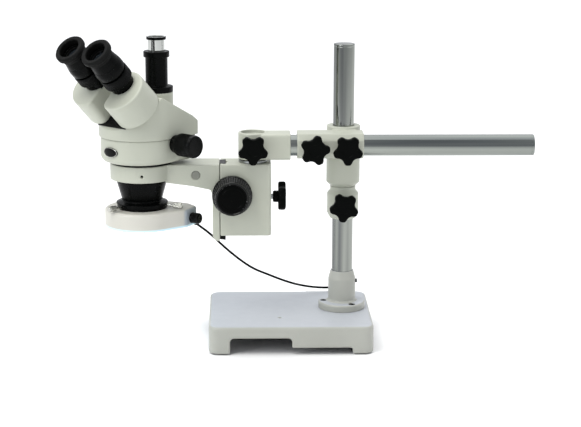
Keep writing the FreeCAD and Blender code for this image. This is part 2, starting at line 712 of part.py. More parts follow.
def u_plan(name, front, half, back, low, high):
    """An upright block whose plan is a half circle in front and square behind."""
    body = new_body(name)
    centre = front - half
    boss(body, "XY_Plane", low, size(high) - size(low), circles=[(centre, 0, half)])
    boss(body, "XY_Plane", low, size(high) - size(low), [rectangle(-back, centre, -half, half)])
    return body


def side_block(name, outline, half):
    body = new_body(name)
    boss(body, "XZ_Plane", 0, half * 2, [outline], middle=True)
    return body


def mount_ring():
    barrel, flange = d.ring_bore - 0.1, d.ring_radius - 1
    seat = d.block_high + 0.05
    turned("mount_ring", [(30, d.ring_low), (barrel, d.ring_low), (barrel, seat), (flange, seat),
                          (flange, d.mount_high), (30, d.mount_high)], HEAD)


def lower_housing():
    wall = d.head_wall
    outer = u_plan("lower_outer", d.lower_front, d.lower_half, d.lower_back, d.mount_high, d.seam_z)
    round_edges(outer, 9, lambda edge: flat_at(edge, d.mount_high.value))
    inner = u_plan("lower_inner", d.lower_front - wall, d.lower_half - wall, d.lower_back - wall,
                   d.mount_high + 9, d.seam_z + 1)
    light_way = cylinder("lower_light_way", 30, d.mount_high - 1, d.mount_high + 10)
    shaft_frame = WORLD.moved(x=-d.zoom_x, z=d.zoom_z, turn=TO_FRONT)
    shaft_way = cylinder("lower_shaft_way", d.zoom_shaft_radius + d.run_clearance, -70, 70, shaft_frame)
    keep(without("lower_housing_cut", outer, [inner, light_way, shaft_way]), "lower_housing", HEAD)


def upper_outline(inset):
    """Side view of the upper housing, all its walls moved inwards by inset."""
    face = d.bend_z + d.face_q * math.sqrt(2) - inset * math.sqrt(2)    # x + z on the sloping face
    front, back, low = d.upper_front - inset, inset - d.upper_back, d.seam_z
    peak_x = size(15)
    drop = inset * 1.12
    return [(back, low), (front, low), (front, face - front), (peak_x, face - peak_x),
            (size(-50), d.bend_z - 12 - drop), (back, d.bend_z - 20 - drop)]


def upper_housing():
    wall = d.head_wall
    outer = overlap("upper_outer", [
        u_plan("upper_plan", d.upper_front, d.upper_half, d.upper_back, d.seam_z, d.bend_z + 30),
        side_block("upper_side", upper_outline(size(0)), d.upper_half)])
    inner = overlap("upper_inner", [
        u_plan("upper_plan_inner", d.upper_front - wall, d.upper_half - wall, d.upper_back - wall,
               d.seam_z - 1, d.bend_z + 30),
        side_block("upper_side_inner", upper_outline(wall), d.upper_half)])
    port = WORLD.moved(x=-d.port_x)
    neck = cylinder("port_neck", d.port_radius, d.bend_z - 25, d.port_neck_top, port)
    port_way = cylinder("port_way", d.port_radius - 3.45, d.bend_z - 26, d.port_neck_top + 1, port)
    spigot_ways = [cylinder("spigot_way", SPIGOT_RADIUS + 0.05, d.face_q - 8, d.face_q + 2,
                            EYES_LOCAL.moved(d.drum_x, side * d.drum_y)) for side in (1, -1)]
    shell = join("upper_shell", [without("upper_hollow", outer, [inner]), neck])
    keep(without("upper_housing_cut", shell, [port_way] + spigot_ways), "upper_housing", HEAD)


SPIGOT_RADIUS = 15
EYES_LOCAL = WORLD.moved(z=d.bend_z, turn=FreeCAD.Rotation(V(0, 1, 0), EYE_TILT_DEG))


def drum_plate():
    """The dark plate between the sloping face and the two prism housings."""
    body = new_body("drum_plate")
    boss(body, "XY_Plane", d.face_q, 2, [rectangle(1, d.drum_x * 2 + 13, -28, 28)])
    cut(body, "XY_Plane", d.face_q + 3, 4,
        circles=[(d.drum_x, side * d.drum_y, SPIGOT_RADIUS + 0.3) for side in (1, -1)])
    keep(body, "drum_plate", EYES)


def badge():
    """A plain oval plate that follows the round front of the lower housing."""
    centre = d.lower_front - d.lower_half
    middle = WORLD.moved(z=BADGE_Z)
    ends = [cylinder("badge_end", 7.5, 40, 80, middle.moved(y=side * 7.5, turn=TO_RIGHT))
            for side in (1, -1)]
    bar = side_block("badge_bar", rectangle(40, 80, size(BADGE_Z - 7.5), size(BADGE_Z + 7.5)), size(7.5))
    outside = cylinder("badge_outside", d.lower_half + 1.2, BADGE_Z - 20, BADGE_Z + 20,
                       WORLD.moved(x=centre))
    inside = cylinder("badge_inside", d.lower_half, BADGE_Z - 21, BADGE_Z + 21, WORLD.moved(x=centre))
    skin = without("badge_skin", outside, [inside])
    keep(overlap("badge_common", [join("badge_oval", ends + [bar]), skin]), "badge", HEAD)


BADGE_Z = 305.5


def objective_parts():
    top, foot = d.ring_low, d.ring_low - 28
    turned("objective_cone", [(26, top), (d.ring_bore - 0.4, top), (d.ring_bore - 0.4, top - 4),
                              (30.5, foot), (28, foot), (28, foot - 10), (24.05, foot - 10),
                              (24.05, foot - 0.95), (26, foot - 0.95)], HEAD)
    turned("objective_lens", [(0, foot - 6), (20, foot - 5.4), (24, foot - 4), (24, foot - 1),
                              (0, foot - 1)], HEAD)
    turned("light_adapter", [(28.05, foot - 16), (31.4, foot - 16), (31.4, foot - 8.5),
                             (38.6, foot - 8.5), (38.6, foot - 6), (31.2, foot - 0.8), (31.2, foot),
                             (28.05, foot)], HEAD)


def photo_port():
    frame = HEAD.moved(x=-d.port_x)
    top, bore = d.port_neck_top, d.sleeve_tube_radius + d.run_clearance
    turned("photo_tube", [(bore, top - 6), (d.port_radius - 3.5, top - 6), (d.port_radius - 3.5, top),
                          (d.port_radius, top), (d.port_radius, top + 10), (16.7, top + 10),
                          (16.7, top + 52), (19.5, top + 52), (19.5, top + 60), (18.5, top + 61),
                          (bore, top + 61)], frame)
    inner = d.sleeve_tube_bore
    turned("photo_sleeve", [(inner, top + 25), (d.sleeve_tube_radius, top + 25),
                            (d.sleeve_tube_radius, top + 78), (14.5, top + 78), (14.5, top + 82),
                            (14, top + 82.5), (inner, top + 82.5)], frame)


def zoom_drive():
    frame = HEAD.moved(x=-d.zoom_x, z=d.zoom_z, turn=TO_BACK)
    reach, far_reach = d.upper_half + 33, d.upper_half + 12
    radius = d.zoom_shaft_radius
    turned("zoom_shaft", [(0, -far_reach), (radius, -far_reach), (radius, reach), (0, reach)], frame)
    turn_over = FreeCAD.Rotation(V(1, 0, 0), 180)
    start, bore = d.upper_half + 0.3, d.zoom_shaft_radius + 0.05
    # the knob on the far side is a short one
    for label, knob_frame, neck, length, face, shaft_end in (
            ("zoom_knob_near", frame, 9.7, 40.7, d.zoom_knob_radius, reach),
            ("zoom_knob_far", frame.moved(turn=turn_over), 3.5, 16.5, d.zoom_knob_radius - 2, far_reach)):
        turned(label, [(bore, start), (13.5, start), (13.5, start + neck), (face, start + neck),
                       (face, start + length - 1.5), (face - 1.5, start + length),
                       (0, start + length), (0, shaft_end + 0.1), (bore, shaft_end + 0.1)], knob_frame)


# ---------------------------------------------------------------- binocular

def d_block(name, radius, flat, side, low, high):
    """A disc about a drum's axis with a flat cut on the side towards the other drum."""
    body = new_body(name)
    boss(body, "XY_Plane", low, size(high) - size(low), circles=[(0, 0, radius)])
    edge = sorted([-flat * side, -(radius + 2) * side], key=lambda reach: reach.value)
    cut(body, "XY_Plane", size(high) + 1, size(high) - size(low) + 2,
        [rectangle(-radius - 1, radius + 1, edge[0], edge[1])])
    return body


def prism_housing(name, side, frame):
    base, top = d.drum_base_q, d.drum_top_q
    outer = d_block(name + "_outer", d.drum_radius, d.drum_flat, side, base, top)
    round_edges(outer, 10, lambda edge: along(edge, 2))
    round_edges(outer, 2.5, lambda edge: flat_at(edge, top.value))
    inner = d_block(name + "_inner", d.drum_radius - 3.5, d.drum_flat - 3.5, side, base + 3, top - 3.5)
    spigot = cylinder(name + "_spigot", SPIGOT_RADIUS, d.face_q - 3, base + 1)
    light_way = cylinder(name + "_light_way", 11, d.face_q - 4, base + 4)
    tube_way = cylinder(name + "_tube_way", 16.55, top - 5, top + 1,
                        WORLD.moved(-d.eye_up, -d.eye_in * side))
    shell = join(name + "_shell", [outer, spigot])
    keep(without(name + "_cut", shell, [inner, light_way, tube_way]), name, frame)


def eyepiece_set(where, side):
    drum = EYES.moved(d.drum_x, side * d.drum_y)
    prism_housing("prism_housing_" + where, side, drum)
    eye = drum.moved(-d.eye_up, -d.eye_in * side)
    seat, bore = d.drum_top_q, d.eyetube_bore
    turned("eyetube_" + where, [(bore, seat - 3), (16.5, seat - 3), (16.5, seat), (18.2, seat),
                                (18.2, seat + 10), (16.5, seat + 10), (16.5, seat + 31.5),
                                (bore, seat + 31.5)], eye)
    turned("diopter_ring_" + where, [(16.6, seat + 10.6), (22, seat + 10.6), (22.4, seat + 11.2),
                                     (22.4, seat + 28), (22, seat + 28.6), (16.6, seat + 28.6)], eye)
    rim = seat + 31.9
    turned("eyepiece_" + where, [(11, seat + 10), (bore - 0.1, seat + 10), (bore - 0.1, rim),
                                 (22.2, rim), (22.2, rim + 8), (18.6, rim + 30), (18.6, rim + 33),
                                 (14, rim + 33), (14, rim + 30.5), (0, rim + 30.5), (0, rim + 27),
                                 (11, rim + 27)], eye)
    turned("eyecup_" + where, [(18.65, rim + 30), (20.3, rim + 30), (20.3, rim + 36),
                               (23.3, rim + 42.5), (23.3, rim + 44.5), (15.5, rim + 44.5),
                               (15.5, rim + 42), (17, rim + 38), (17, rim + 33.05),
                               (18.65, rim + 33.05)], eye)


# ---------------------------------------------------------------- light cord

# The free cord's route: out of the ring light's gland, down behind the focus block and over the
# back edge of the base to the bench, where the rest is wound into a coil.
CORD_ROUTE = [(-223.5, -27.2, 183.9), (-213, -17.6, 173.6), (-203.4, -8.5, 163.6),
              (-192, 1, 150), (-174.6, 13, 130.5), (-154.4, 26, 110.5), (-135.6, 37, 95),
              (-113.4, 48, 83.2), (-91.8, 58, 71.6), (-70, 66, 62.2), (-46, 73, 55.6),
              (-24.8, 79, 52.3), (-8, 86, 51), (2, 96, 47), (5, 103, 36), (1.5, 105.5, 20),
              (-11, 106, 7.5), (-25, 104.6, 2.2), (-38, 105.2, 1.8), (-53.6, 116.05, 1.8)]
COIL_CENTRE = (-75, 131)


# ---------------------------------------------------------------- ring light

TAIL_KNOB_FROM, TAIL_KNOB_TO = (67.5, -20), (81, 3)
TAIL_CORD_FROM, TAIL_CORD_TO = (81, 8), (70, 26)


def facet_frame(start, end, height):
    """The middle of an upright facet of the tail, with local Z along the facet's normal."""
    (x0, y0), (x1, y1) = start, end
    azimuth = math.degrees(math.atan2(y1 - y0, x1 - x0)) - 90
    upright = FreeCAD.Rotation(V(0, 0, 1), azimuth) * TO_RIGHT
    return LIGHT.moved((x0 + x1) / 2, (y0 + y1) / 2, height, upright)


def light_housing():
    low, high = d.light_low, d.light_high
    body = new_body("light_housing")
    boss(body, "XY_Plane", low, high - low, circles=[(0, 0, d.light_radius)])
    boss(body, "XY_Plane", low, high - low,
         [[(30, -47), TAIL_KNOB_FROM, TAIL_KNOB_TO, TAIL_CORD_FROM, TAIL_CORD_TO, (30, 47)]])
    round_edges(body, 4, lambda edge: flat_at(edge, high.value))
    cut(body, "XY_Plane", high + 1, high - low + 2, circles=[(0, 0, d.light_bore)])
    # the annular trough that takes the lamps
    cut(body, "XY_Plane", low, high - low - 4, forward=True,
        circles=[(0, 0, d.light_bore + 3), (0, 0, d.light_radius - 3)])
    set_place(body, LIGHT)
    knob_way = cylinder("dimmer_way", 3.05, -8, 4, facet_frame(TAIL_KNOB_FROM, TAIL_KNOB_TO, DIMMER_Z))
    keep(without("light_housing_cut", body, [knob_way, cord_gland()]), "light_housing")


DIMMER_Z = 198.5


def cord_gland():
    """A soft cone round the cord where it leaves the tail, in line with the cord's first run."""
    start, after = V(*CORD_ROUTE[0]), V(*CORD_ROUTE[1])
    frame = WORLD.moved(*start, FreeCAD.Rotation(V(0, 0, 1), after - start))
    return turned("cord_gland", [(0, -14), (4, -14), (4, -9), (2.7, 0), (0, 0)], frame)


def ring_light_parts():
    low, high = d.light_low, d.light_high
    turned("led_ring", [(d.light_bore + 3.1, low - 1), (d.light_radius - 3.1, low - 1),
                        (d.light_radius - 3.1, low + 5), (d.light_bore + 3.1, low + 5)], LIGHT)
    body = new_body("light_collar")
    revolve(body, [(31.5, high), (37.5, high), (37.5, high + 7.8), (37, high + 8.3), (31.5, high + 8.3)])
    set_place(body, LIGHT)
    screw_frames = [LIGHT.moved(z=d.light_screw_z, turn=FreeCAD.Rotation(V(0, 0, 1), a) * TO_RIGHT)
                    for a in LIGHT_SCREW_DEGS]
    radius = d.screw_radius
    ways = [cylinder("light_screw_way", radius + 0.05, 30, 40, frame) for frame in screw_frames]
    keep(without("light_collar_cut", body, ways), "light_collar")
    for number, frame in enumerate(screw_frames, start=1):
        turned("light_screw_%d" % number,
               [(0, 31.8), (radius, 31.8), (radius, 50), (4.3, 50), (4.3, 63), (3.5, 64), (0, 64)],
               frame)
    turned("dimmer_knob", [(0, -7.5), (3, -7.5), (3, 0.4), (8.2, 0.4), (8.2, 14), (7.6, 15), (0, 15)],
           facet_frame(TAIL_KNOB_FROM, TAIL_KNOB_TO, DIMMER_Z))


def cord_path(points):
    """Straight runs joined by tangent arcs, as large as the two runs beside each corner allow."""
    corners = [V(*p) for p in points]
    edges, start, radii = [], corners[0], []
    for before, corner, after in zip(corners, corners[1:], corners[2:]):
        towards, away = (corner - before), (after - corner)
        shorter = min(towards.Length, away.Length)
        turn = towards.getAngle(away)
        radius = 0.45 * shorter / math.tan(turn / 2)
        towards.normalize()
        away.normalize()
        enter, leave = corner - towards * (0.45 * shorter), corner + away * (0.45 * shorter)
        inwards = away - towards
        inwards.normalize()
        middle = corner + inwards * (radius / math.cos(turn / 2) - radius)
        edges.append(Part.LineSegment(start, enter).toShape())
        edges.append(Part.Arc(enter, middle, leave).toShape())
        start = leave
        radii.append(radius)
    edges.append(Part.LineSegment(start, corners[-1]).toShape())
    print("cord arc radii:", " ".join("%.0f" % r for r in radii))
    return Part.Wire(edges)


def light_cord():
    radius = sheet.get("cord_radius")
    path = cord_path(CORD_ROUTE)
    out = V(*CORD_ROUTE[1]) - V(*CORD_ROUTE[0])
    section = Part.Wire(Part.Circle(V(*CORD_ROUTE[0]), out, radius).toShape())
    tube = path.makePipeShell([section], True, False)
    expected = math.pi * radius ** 2 * path.Length
    print("cord: length %.1f mm, volume / (section x length) = %.4f"
          % (path.Length, tube.Volume / expected))
    cord = doc.addObject("Part::Feature", "light_cord_tube")
    cord.Shape = tube
    keep(cord, "light_cord")
    place = WORLD.moved(*COIL_CENTRE)
    outer, inner, height = d.coil_outer, d.coil_inner, d.coil_height
    turned("cord_coil", [(inner, 0), (outer, 0), (outer, height), (inner, height)], place)


def power_adapter():
    """A plug-in power unit beside the coil; the cord runs into its nose from the coil's far side."""
    x, y = COIL_CENTRE
    axis_y, axis_z = d.coil_outer - d.cord_radius, d.coil_height - d.cord_radius
    frame = WORLD.moved(x + 9, size(y) + axis_y, 0)
    body = new_body("adapter_case")
    boss(body, "XY_Plane", 0, 21, [rectangle(16, 58, -13, 13)])
    round_edges(body, 3, lambda edge: along(edge, 2))
    for side in (1, -1):
        boss(body, "YZ_Plane", 57, 17, [rectangle(side * 6.4 - 0.8, side * 6.4 + 0.8, 9.8, 16.2)])
    nose = new_body("adapter_nose")
    revolve(nose, [(0, 0), (2.4, 0), (5, 17), (0, 17)])
    set_place(nose, WORLD.moved(z=axis_z, turn=TO_RIGHT))
    keep(join("adapter_whole", [body, nose]), "power_adapter", frame)


# ---------------------------------------------------------------- build and export

def build():
    for make in (base_casting, rubber_feet, column_socket, socket_bolts, socket_set_screw):
        make()
    capped_tube("column", d.column_radius, d.column_bore, d.base_top, d.column_top, WORLD)
    for make in (stop_collar, crosshead):
        make()
    capped_tube("boom_tube", d.column_radius, d.boom_bore, -d.boom_left, d.boom_right,
                WORLD.moved(0, -d.boom_y, d.boom_z, TO_RIGHT))
    for make in (knuckle, swivel_post, focus_block, pinion_bushes, pinion_shaft):
        make()
    focus_knob("focus_knob_near", PINION)
    focus_knob("focus_knob_far", PINION.moved(turn=FreeCAD.Rotation(V(1, 0, 0), 180)))
    for make in (focus_rack, dovetail_slide, carrier_arm, hole_plug, clamp_knobs, mount_ring,
                 lower_housing, upper_housing, drum_plate, badge, objective_parts, photo_port,
                 zoom_drive):
        make()
    eyepiece_set("near", 1)
    eyepiece_set("far", -1)
    for make in (light_housing, ring_light_parts, light_cord, power_adapter):
        make()


def check_and_export():
    doc.recompute()
    failed = [o.Name for o in doc.Objects if "Invalid" in o.State or "Error" in o.State]
    if failed:
        raise RuntimeError("failed objects: " + ", ".join(failed))
    for node in nodes:
        if node.Shape.isNull() or not node.Shape.isValid() or node.Shape.Volume <= 0:
            raise RuntimeError("bad shape: " + node.Label)
    os.makedirs("parts", exist_ok=True)
    for node in nodes:
        node.Shape.exportStep("parts/%s.step" % node.Label)
        print("%-24s %d solid(s) %9.0f mm3" % (node.Label, len(node.Shape.Solids),
                                               node.Shape.Volume))
    print(len(nodes), "sub-parts")


build()
check_and_export()
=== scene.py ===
import json
import math

import bmesh
import bpy
from mathutils import Matrix, Vector


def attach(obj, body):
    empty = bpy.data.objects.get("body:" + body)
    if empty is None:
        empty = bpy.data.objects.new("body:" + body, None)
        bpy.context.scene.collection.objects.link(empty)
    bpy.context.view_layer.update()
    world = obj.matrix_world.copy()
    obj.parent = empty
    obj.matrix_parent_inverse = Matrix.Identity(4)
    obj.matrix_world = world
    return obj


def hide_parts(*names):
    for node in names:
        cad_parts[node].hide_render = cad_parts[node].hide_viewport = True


# A stereo microscope on a boom stand. The frame is the CAD model's: metres, the origin on the bench
# under the column, +Z up, the boom along X, the operator's side of the base at -Y. Profiles and
# outlines are written in millimetres and placed by a matrix that scales them.

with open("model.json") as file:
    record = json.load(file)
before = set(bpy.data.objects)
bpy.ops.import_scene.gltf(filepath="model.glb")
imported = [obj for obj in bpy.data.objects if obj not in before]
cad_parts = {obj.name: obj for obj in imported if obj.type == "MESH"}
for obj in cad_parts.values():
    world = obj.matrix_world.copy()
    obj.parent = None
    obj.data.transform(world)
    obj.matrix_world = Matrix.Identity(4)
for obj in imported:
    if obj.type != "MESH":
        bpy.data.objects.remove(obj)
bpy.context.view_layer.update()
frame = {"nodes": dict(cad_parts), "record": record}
NODES = frame["nodes"]
BODY_OF = {node: body for body, group in frame["record"]["behaviour"]["bodies"].items()
           for node in group}
TAU = 2 * math.pi


# ---------------------------------------------------------------- camera

def make_camera():
    """A long lens a little above the stand, looking almost along +Y."""
    yaw, pitch, roll = math.radians(1.877), math.radians(13.2), math.radians(0.234)
    forward = Vector((math.sin(yaw) * math.cos(pitch), math.cos(yaw) * math.cos(pitch),
                      -math.sin(pitch)))
    data = bpy.data.cameras.new("camera")
    data.lens, data.sensor_width = 105.8, 36
    data.clip_start, data.clip_end = 0.05, 60
    camera = bpy.data.objects.new("camera", data)
    bpy.context.scene.collection.objects.link(camera)
    turn = forward.to_track_quat("-Z", "Y").to_matrix().to_4x4() @ Matrix.Rotation(roll, 4, "Z")
    camera.matrix_world = Matrix.Translation((-0.1635, -2.5507, 0.7914)) @ turn
    bpy.context.scene.camera = camera


make_camera()


# ---------------------------------------------------------------- places

def place(x=0, y=0, z=0, *turns):
    """A millimetre frame at a point; each turn is (degrees, axis letter)."""
    matrix = Matrix.Translation((x / 1000, y / 1000, z / 1000))
    for degrees, axis in turns:
        matrix = matrix @ Matrix.Rotation(math.radians(degrees), 4, axis)
    return matrix @ Matrix.Scale(0.001, 4)


def inside(outer, x=0, y=0, z=0, *turns):
    """A frame given within another millimetre frame."""
    matrix = outer @ Matrix.Translation((x, y, z))
    for degrees, axis in turns:
        matrix = matrix @ Matrix.Rotation(math.radians(degrees), 4, axis)
    return matrix


# The sizes that several pieces share, in millimetres, as in the CAD model.
BASE_TOP, FOOT_X, FOOT_Y = 44, (-188.5, 26.5), (-92.5, 74.5)
BOOM_Y, BOOM_Z, BOOM_LEFT, BOOM_RIGHT = -40, 307, -118, 284
COLUMN_RADIUS, COLUMN_BORE, COLUMN_LOW, COLUMN_TOP = 16, 12, 44, 455
SLIDING_BORE = COLUMN_RADIUS + 0.05
COLLAR_LOW, COLLAR_HIGH, COLLAR_RADIUS, COLLAR_KNOB_Z = 187, 237, 24, 211
SLEEVE_RADIUS, BOX_HALF, KNUCKLE_RADIUS = 25.5, 20, 22
BOOM_KNOB_LEFT_X, BOOM_KNOB_RIGHT_X = -46.5, 2.4
POST_X, BLOCK_RIGHT, BLOCK_HIGH, BLOCK_HALF, BLOCK_KNOB_Z = -138, -111, 282.6, 26, 229
PINION_X, PINION_Z, PLUG_X, PLUG_Z = -169, 238.5, -223, 267
OPTIC_X, RING_LOW, MOUNT_HIGH = -304.5, 258.5, 286.6
CONE_FOOT = RING_LOW - 28
HEAD_AZIMUTH = -132
LOWER_FRONT, LOWER_HALF, UPPER_HALF, BADGE_Z = 61, 58.3, 60.5, 305.5
PORT_X, NECK_TOP = -34.5, 385
PHOTO_SLEEVE_LOW, PHOTO_SLEEVE_HIGH = 410, 467.5
ZOOM_X, ZOOM_Z = -11, 316
EYES_Z, EYES_TILT = 365, 45
DRUM_X, DRUM_Y, DRUM_TOP = 22.5, 30, 75
EYE_X, EYE_Y = -9.5, -3
LIGHT_HIGH, LIGHT_SCREW_Z, DIMMER_Z = 213.5, 219, 198.5
LED_LOW, LED_HIGH = 185.3, 191.3
LIGHT_SCREW_DEGS = (-138, -18, 102)
TAIL_KNOB_FROM, TAIL_KNOB_TO = (67.5, -20), (81, 3)

TO_RIGHT, TO_FRONT, TO_BACK = (90, "Y"), (90, "X"), (-90, "X")
WORLD = place()
HEAD = place(OPTIC_X, BOOM_Y, 0, (HEAD_AZIMUTH, "Z"))
LIGHT = place(OPTIC_X, BOOM_Y, 0)
EYES = inside(HEAD, 0, 0, EYES_Z, (EYES_TILT, "Y"))
POST = place(POST_X, BOOM_Y, 0)
PINION = place(PINION_X, BOOM_Y, PINION_Z, TO_FRONT)


# ---------------------------------------------------------------- materials

class Shader:
    """A principled material with short ways to add nodes to it."""

    def __init__(self, name, color, roughness, metallic=0.0):
        self.material = bpy.data.materials.new(name)
        self.material.use_nodes = True
        self.material.diffuse_color = (*color, 1)
        self.tree = self.material.node_tree
        self.surface = self.tree.nodes["Principled BSDF"]
        self.coordinates = self.tree.nodes.new("ShaderNodeTexCoord").outputs["Object"]
        self.set("Base Color", (*color, 1))
        self.set("Roughness", roughness)
        self.set("Metallic", metallic)

    def set(self, name, value):
        self.surface.inputs[name].default_value = value

    def link(self, source, target):
        self.tree.links.new(source, target)

    def feed(self, name, source):
        """Drive one input of the surface."""
        self.link(source, self.surface.inputs[name])

    def noise(self, scale, detail=3.0, stretch=None):
        node = self.tree.nodes.new("ShaderNodeTexNoise")
        node.inputs["Scale"].default_value = scale
        node.inputs["Detail"].default_value = detail
        source = self.coordinates
        if stretch:
            mapping = self.tree.nodes.new("ShaderNodeMapping")
            mapping.inputs["Scale"].default_value = stretch
            self.link(source, mapping.inputs["Vector"])
            source = mapping.outputs["Vector"]
        self.link(source, node.inputs["Vector"])
        return node.outputs["Fac"]

    def ramp(self, source, start, end, low=0.0, high=1.0):
        """Low up to one value of the source and high beyond another, straight in between."""
        node = self.tree.nodes.new("ShaderNodeMapRange")
        for name, value in (("From Min", start), ("From Max", end), ("To Min", low), ("To Max", high)):
            node.inputs[name].default_value = value
        self.link(source, node.inputs["Value"])
        return node.outputs["Result"]

    def spread(self, noise, low, high):
        """Map the middle of a noise's range to a range of numbers."""
        return self.ramp(noise, 0.3, 0.7, low, high)

    def mix(self, factor, first, second):
        """A colour between two colours or sockets."""
        node = self.tree.nodes.new("ShaderNodeMix")
        node.data_type = "RGBA"
        self.link(factor, node.inputs["Factor"])
        for socket, value in ((node.inputs["A"], first), (node.inputs["B"], second)):
            if isinstance(value, tuple):
                socket.default_value = (*value, 1)
            else:
                self.link(value, socket)
        return node.outputs["Result"]

    def geometry(self, name):
        return self.tree.nodes.new("ShaderNodeNewGeometry").outputs[name]

    def edges(self, low, high):
        """1 on convex edges, 0 elsewhere: marks edge wear, and in some materials a painted highlight."""
        return self.ramp(self.geometry("Pointiness"), low, high)

    def parts(self, vector):
        """The X, Y and Z outputs of a vector."""
        node = self.tree.nodes.new("ShaderNodeSeparateXYZ")
        self.link(vector, node.inputs["Vector"])
        return node.outputs

    def vector_math(self, operation, source, value=None):
        node = self.tree.nodes.new("ShaderNodeVectorMath")
        node.operation = operation
        self.link(source, node.inputs[0])
        if value is not None:
            node.inputs[1].default_value = value
        return node.outputs

    def bump(self, height, strength, distance):
        node = self.tree.nodes.new("ShaderNodeBump")
        node.inputs["Strength"].default_value = strength
        node.inputs["Distance"].default_value = distance
        self.link(height, node.inputs["Height"])
        self.link(node.outputs["Normal"], self.surface.inputs["Normal"])


def painted(name, color, roughness=0.42):
    """Baked enamel on a casting: faint orange peel, slight drift of tone, edges lightened by wear."""
    shader = Shader(name, color, roughness)
    darker = tuple(c * 0.93 for c in color)
    lighter = tuple(min(1, c * 1.08 + 0.02) for c in color)
    drift = shader.mix(shader.spread(shader.noise(14), 0, 1), darker, color)
    shader.feed("Base Color", shader.mix(shader.edges(0.53, 0.62), drift, lighter))
    shader.feed("Roughness", shader.spread(shader.noise(60), roughness - 0.06, roughness + 0.06))
    shader.bump(shader.noise(900, 2), 0.12, 0.0004)
    shader.set("Specular IOR Level", 0.35)
    shader.set("Coat Weight", 0.1)
    shader.set("Coat Roughness", 0.25)
    return shader.material


def plastic(name, color, roughness, grain=1600, strength=0.15, gloss=0.13, wear_and_highlight=0.02, crest=0.54):
    """Moulded plastic with a fine sparked texture and slightly greyer edges from wear; a large edge lift
    paints a highlight on the crests.
    """
    shader = Shader(name, color, roughness)
    # Edges lighter: wear, and where the lift is large, as for the focus knob, a painted highlight.
    edge_tone = tuple(min(1, c * 1.6 + wear_and_highlight) for c in color)
    shader.feed("Base Color", shader.mix(shader.edges(crest, crest + 0.12), color, edge_tone))
    shader.feed("Roughness", shader.spread(shader.noise(90), roughness - 0.07, roughness + 0.07))
    shader.bump(shader.noise(grain, 2), strength, 0.0003)
    shader.set("Specular IOR Level", gloss)
    return shader.material


def polished(name, color, roughness, stretch, metallic=1.0, gloss=0.5):
    """Plated or turned metal with fine marks drawn out along one direction."""
    shader = Shader(name, color, roughness, metallic)
    marks = shader.noise(220, 4, stretch)
    shader.feed("Roughness", shader.spread(marks, roughness * 0.6, roughness * 1.5))
    dull = tuple(c * 0.86 for c in color)
    shader.feed("Base Color", shader.mix(shader.spread(shader.noise(25), 0, 1), dull, color))
    shader.bump(marks, 0.03, 0.0002)
    shader.set("Specular IOR Level", gloss)
    return shader.material


def drawn_chrome(name, dark, light, stretch):
    """Chrome over a ground tube: fine lines run along its length, and broader darker streaks along it are
    painted reflections.
    """
    shader = Shader(name, light, 0.08, 1.0)
    reflection_bands = shader.noise(60, 2, stretch)
    lines = shader.noise(420, 4, stretch)
    # Darker streaks along the tube: painted reflections.
    shader.feed("Base Color", shader.mix(shader.spread(reflection_bands, 0, 1), dark, light))
    shader.feed("Roughness", shader.spread(lines, 0.05, 0.14))
    shader.bump(lines, 0.03, 0.0002)
    return shader.material


def glass(name, tint):
    """Coated eye lens: dark inside, with a faint green and magenta bloom."""
    shader = Shader(name, (0.012, 0.016, 0.02), 0.04)
    bloom = shader.mix(shader.spread(shader.noise(45, 1), 0, 1), tint, (0.30, 0.12, 0.28))
    shader.feed("Specular Tint", bloom)
    shader.set("Coat Weight", 1.0)
    shader.set("Coat Roughness", 0.02)
    shader.bump(shader.noise(30, 1), 0.02, 0.0002)
    return shader.material


def lit_diffuser(name):
    """Frosted ring over the lamps, glowing a slightly uneven cold white."""
    shader = Shader(name, (0.85, 0.93, 1.0), 0.5)
    glow = shader.mix(shader.spread(shader.noise(120, 1), 0, 1), (0.55, 0.8, 1.0), (0.85, 0.95, 1.0))
    shader.feed("Emission Color", glow)
    shader.set("Emission Strength", 3.0)
    return shader.material


def base_paint(node):
    """The stand's enamel with painted light: upward faces painted lighter and cooler where light falls from
    above, edges lighter from wear and a painted highlight, and a box inside the skin that paints the inside
    of the casting near-black as the shade under the base.
    """
    shader = Shader("base_enamel", (0.36, 0.37, 0.34), 0.46)
    # Upward faces get a lighter, cooler tone: painted light from above.
    lit_top = shader.ramp(shader.parts(shader.geometry("Normal"))["Z"], 0.75, 0.98)

    corners = [Vector(corner) for corner in NODES[node].bound_box]
    low = Vector([min(corner[axis] for corner in corners) for axis in range(3)])
    high = Vector([max(corner[axis] for corner in corners) for axis in range(3)])
    low.z, high.z = low.z - 0.01, BASE_TOP / 1000
    skin = Vector((0.0053, 0.0053, 0.0053))
    from_middle = shader.vector_math("SUBTRACT", shader.coordinates, (low + high) / 2)["Vector"]
    distance = shader.vector_math("ABSOLUTE", from_middle)["Vector"]
    outside = shader.parts(shader.vector_math("SUBTRACT", distance, (high - low) / 2 - skin)["Vector"])
    farthest = outside["X"]
    for letter in "YZ":
        larger = shader.tree.nodes.new("ShaderNodeMath")
        larger.operation = "MAXIMUM"
        shader.link(farthest, larger.inputs[0])
        shader.link(outside[letter], larger.inputs[1])
        farthest = larger.outputs["Value"]
    # Mask of the painted shade: the inside of the casting, painted near-black for the shade under the base.
    shaded_inside = shader.ramp(farthest, 0.0005, -0.0005)

    drift = shader.mix(shader.spread(shader.noise(9), 0, 1), (0.335, 0.34, 0.305), (0.37, 0.375, 0.34))
    tone_and_lit_top = shader.mix(lit_top, drift, (0.415, 0.435, 0.465))
    # Edges lighter: partly wear, partly a painted highlight.
    wear_and_highlight = shader.mix(shader.edges(0.53, 0.62), tone_and_lit_top, (0.58, 0.59, 0.57))
    shader.feed("Base Color", shader.mix(shaded_inside, wear_and_highlight, (0.006, 0.0065, 0.007)))
    shader.feed("Roughness", shader.spread(shader.noise(60), 0.40, 0.52))
    shader.bump(shader.noise(700, 2), 0.12, 0.0004)
    shader.set("Coat Weight", 0.1)
    return shader.material


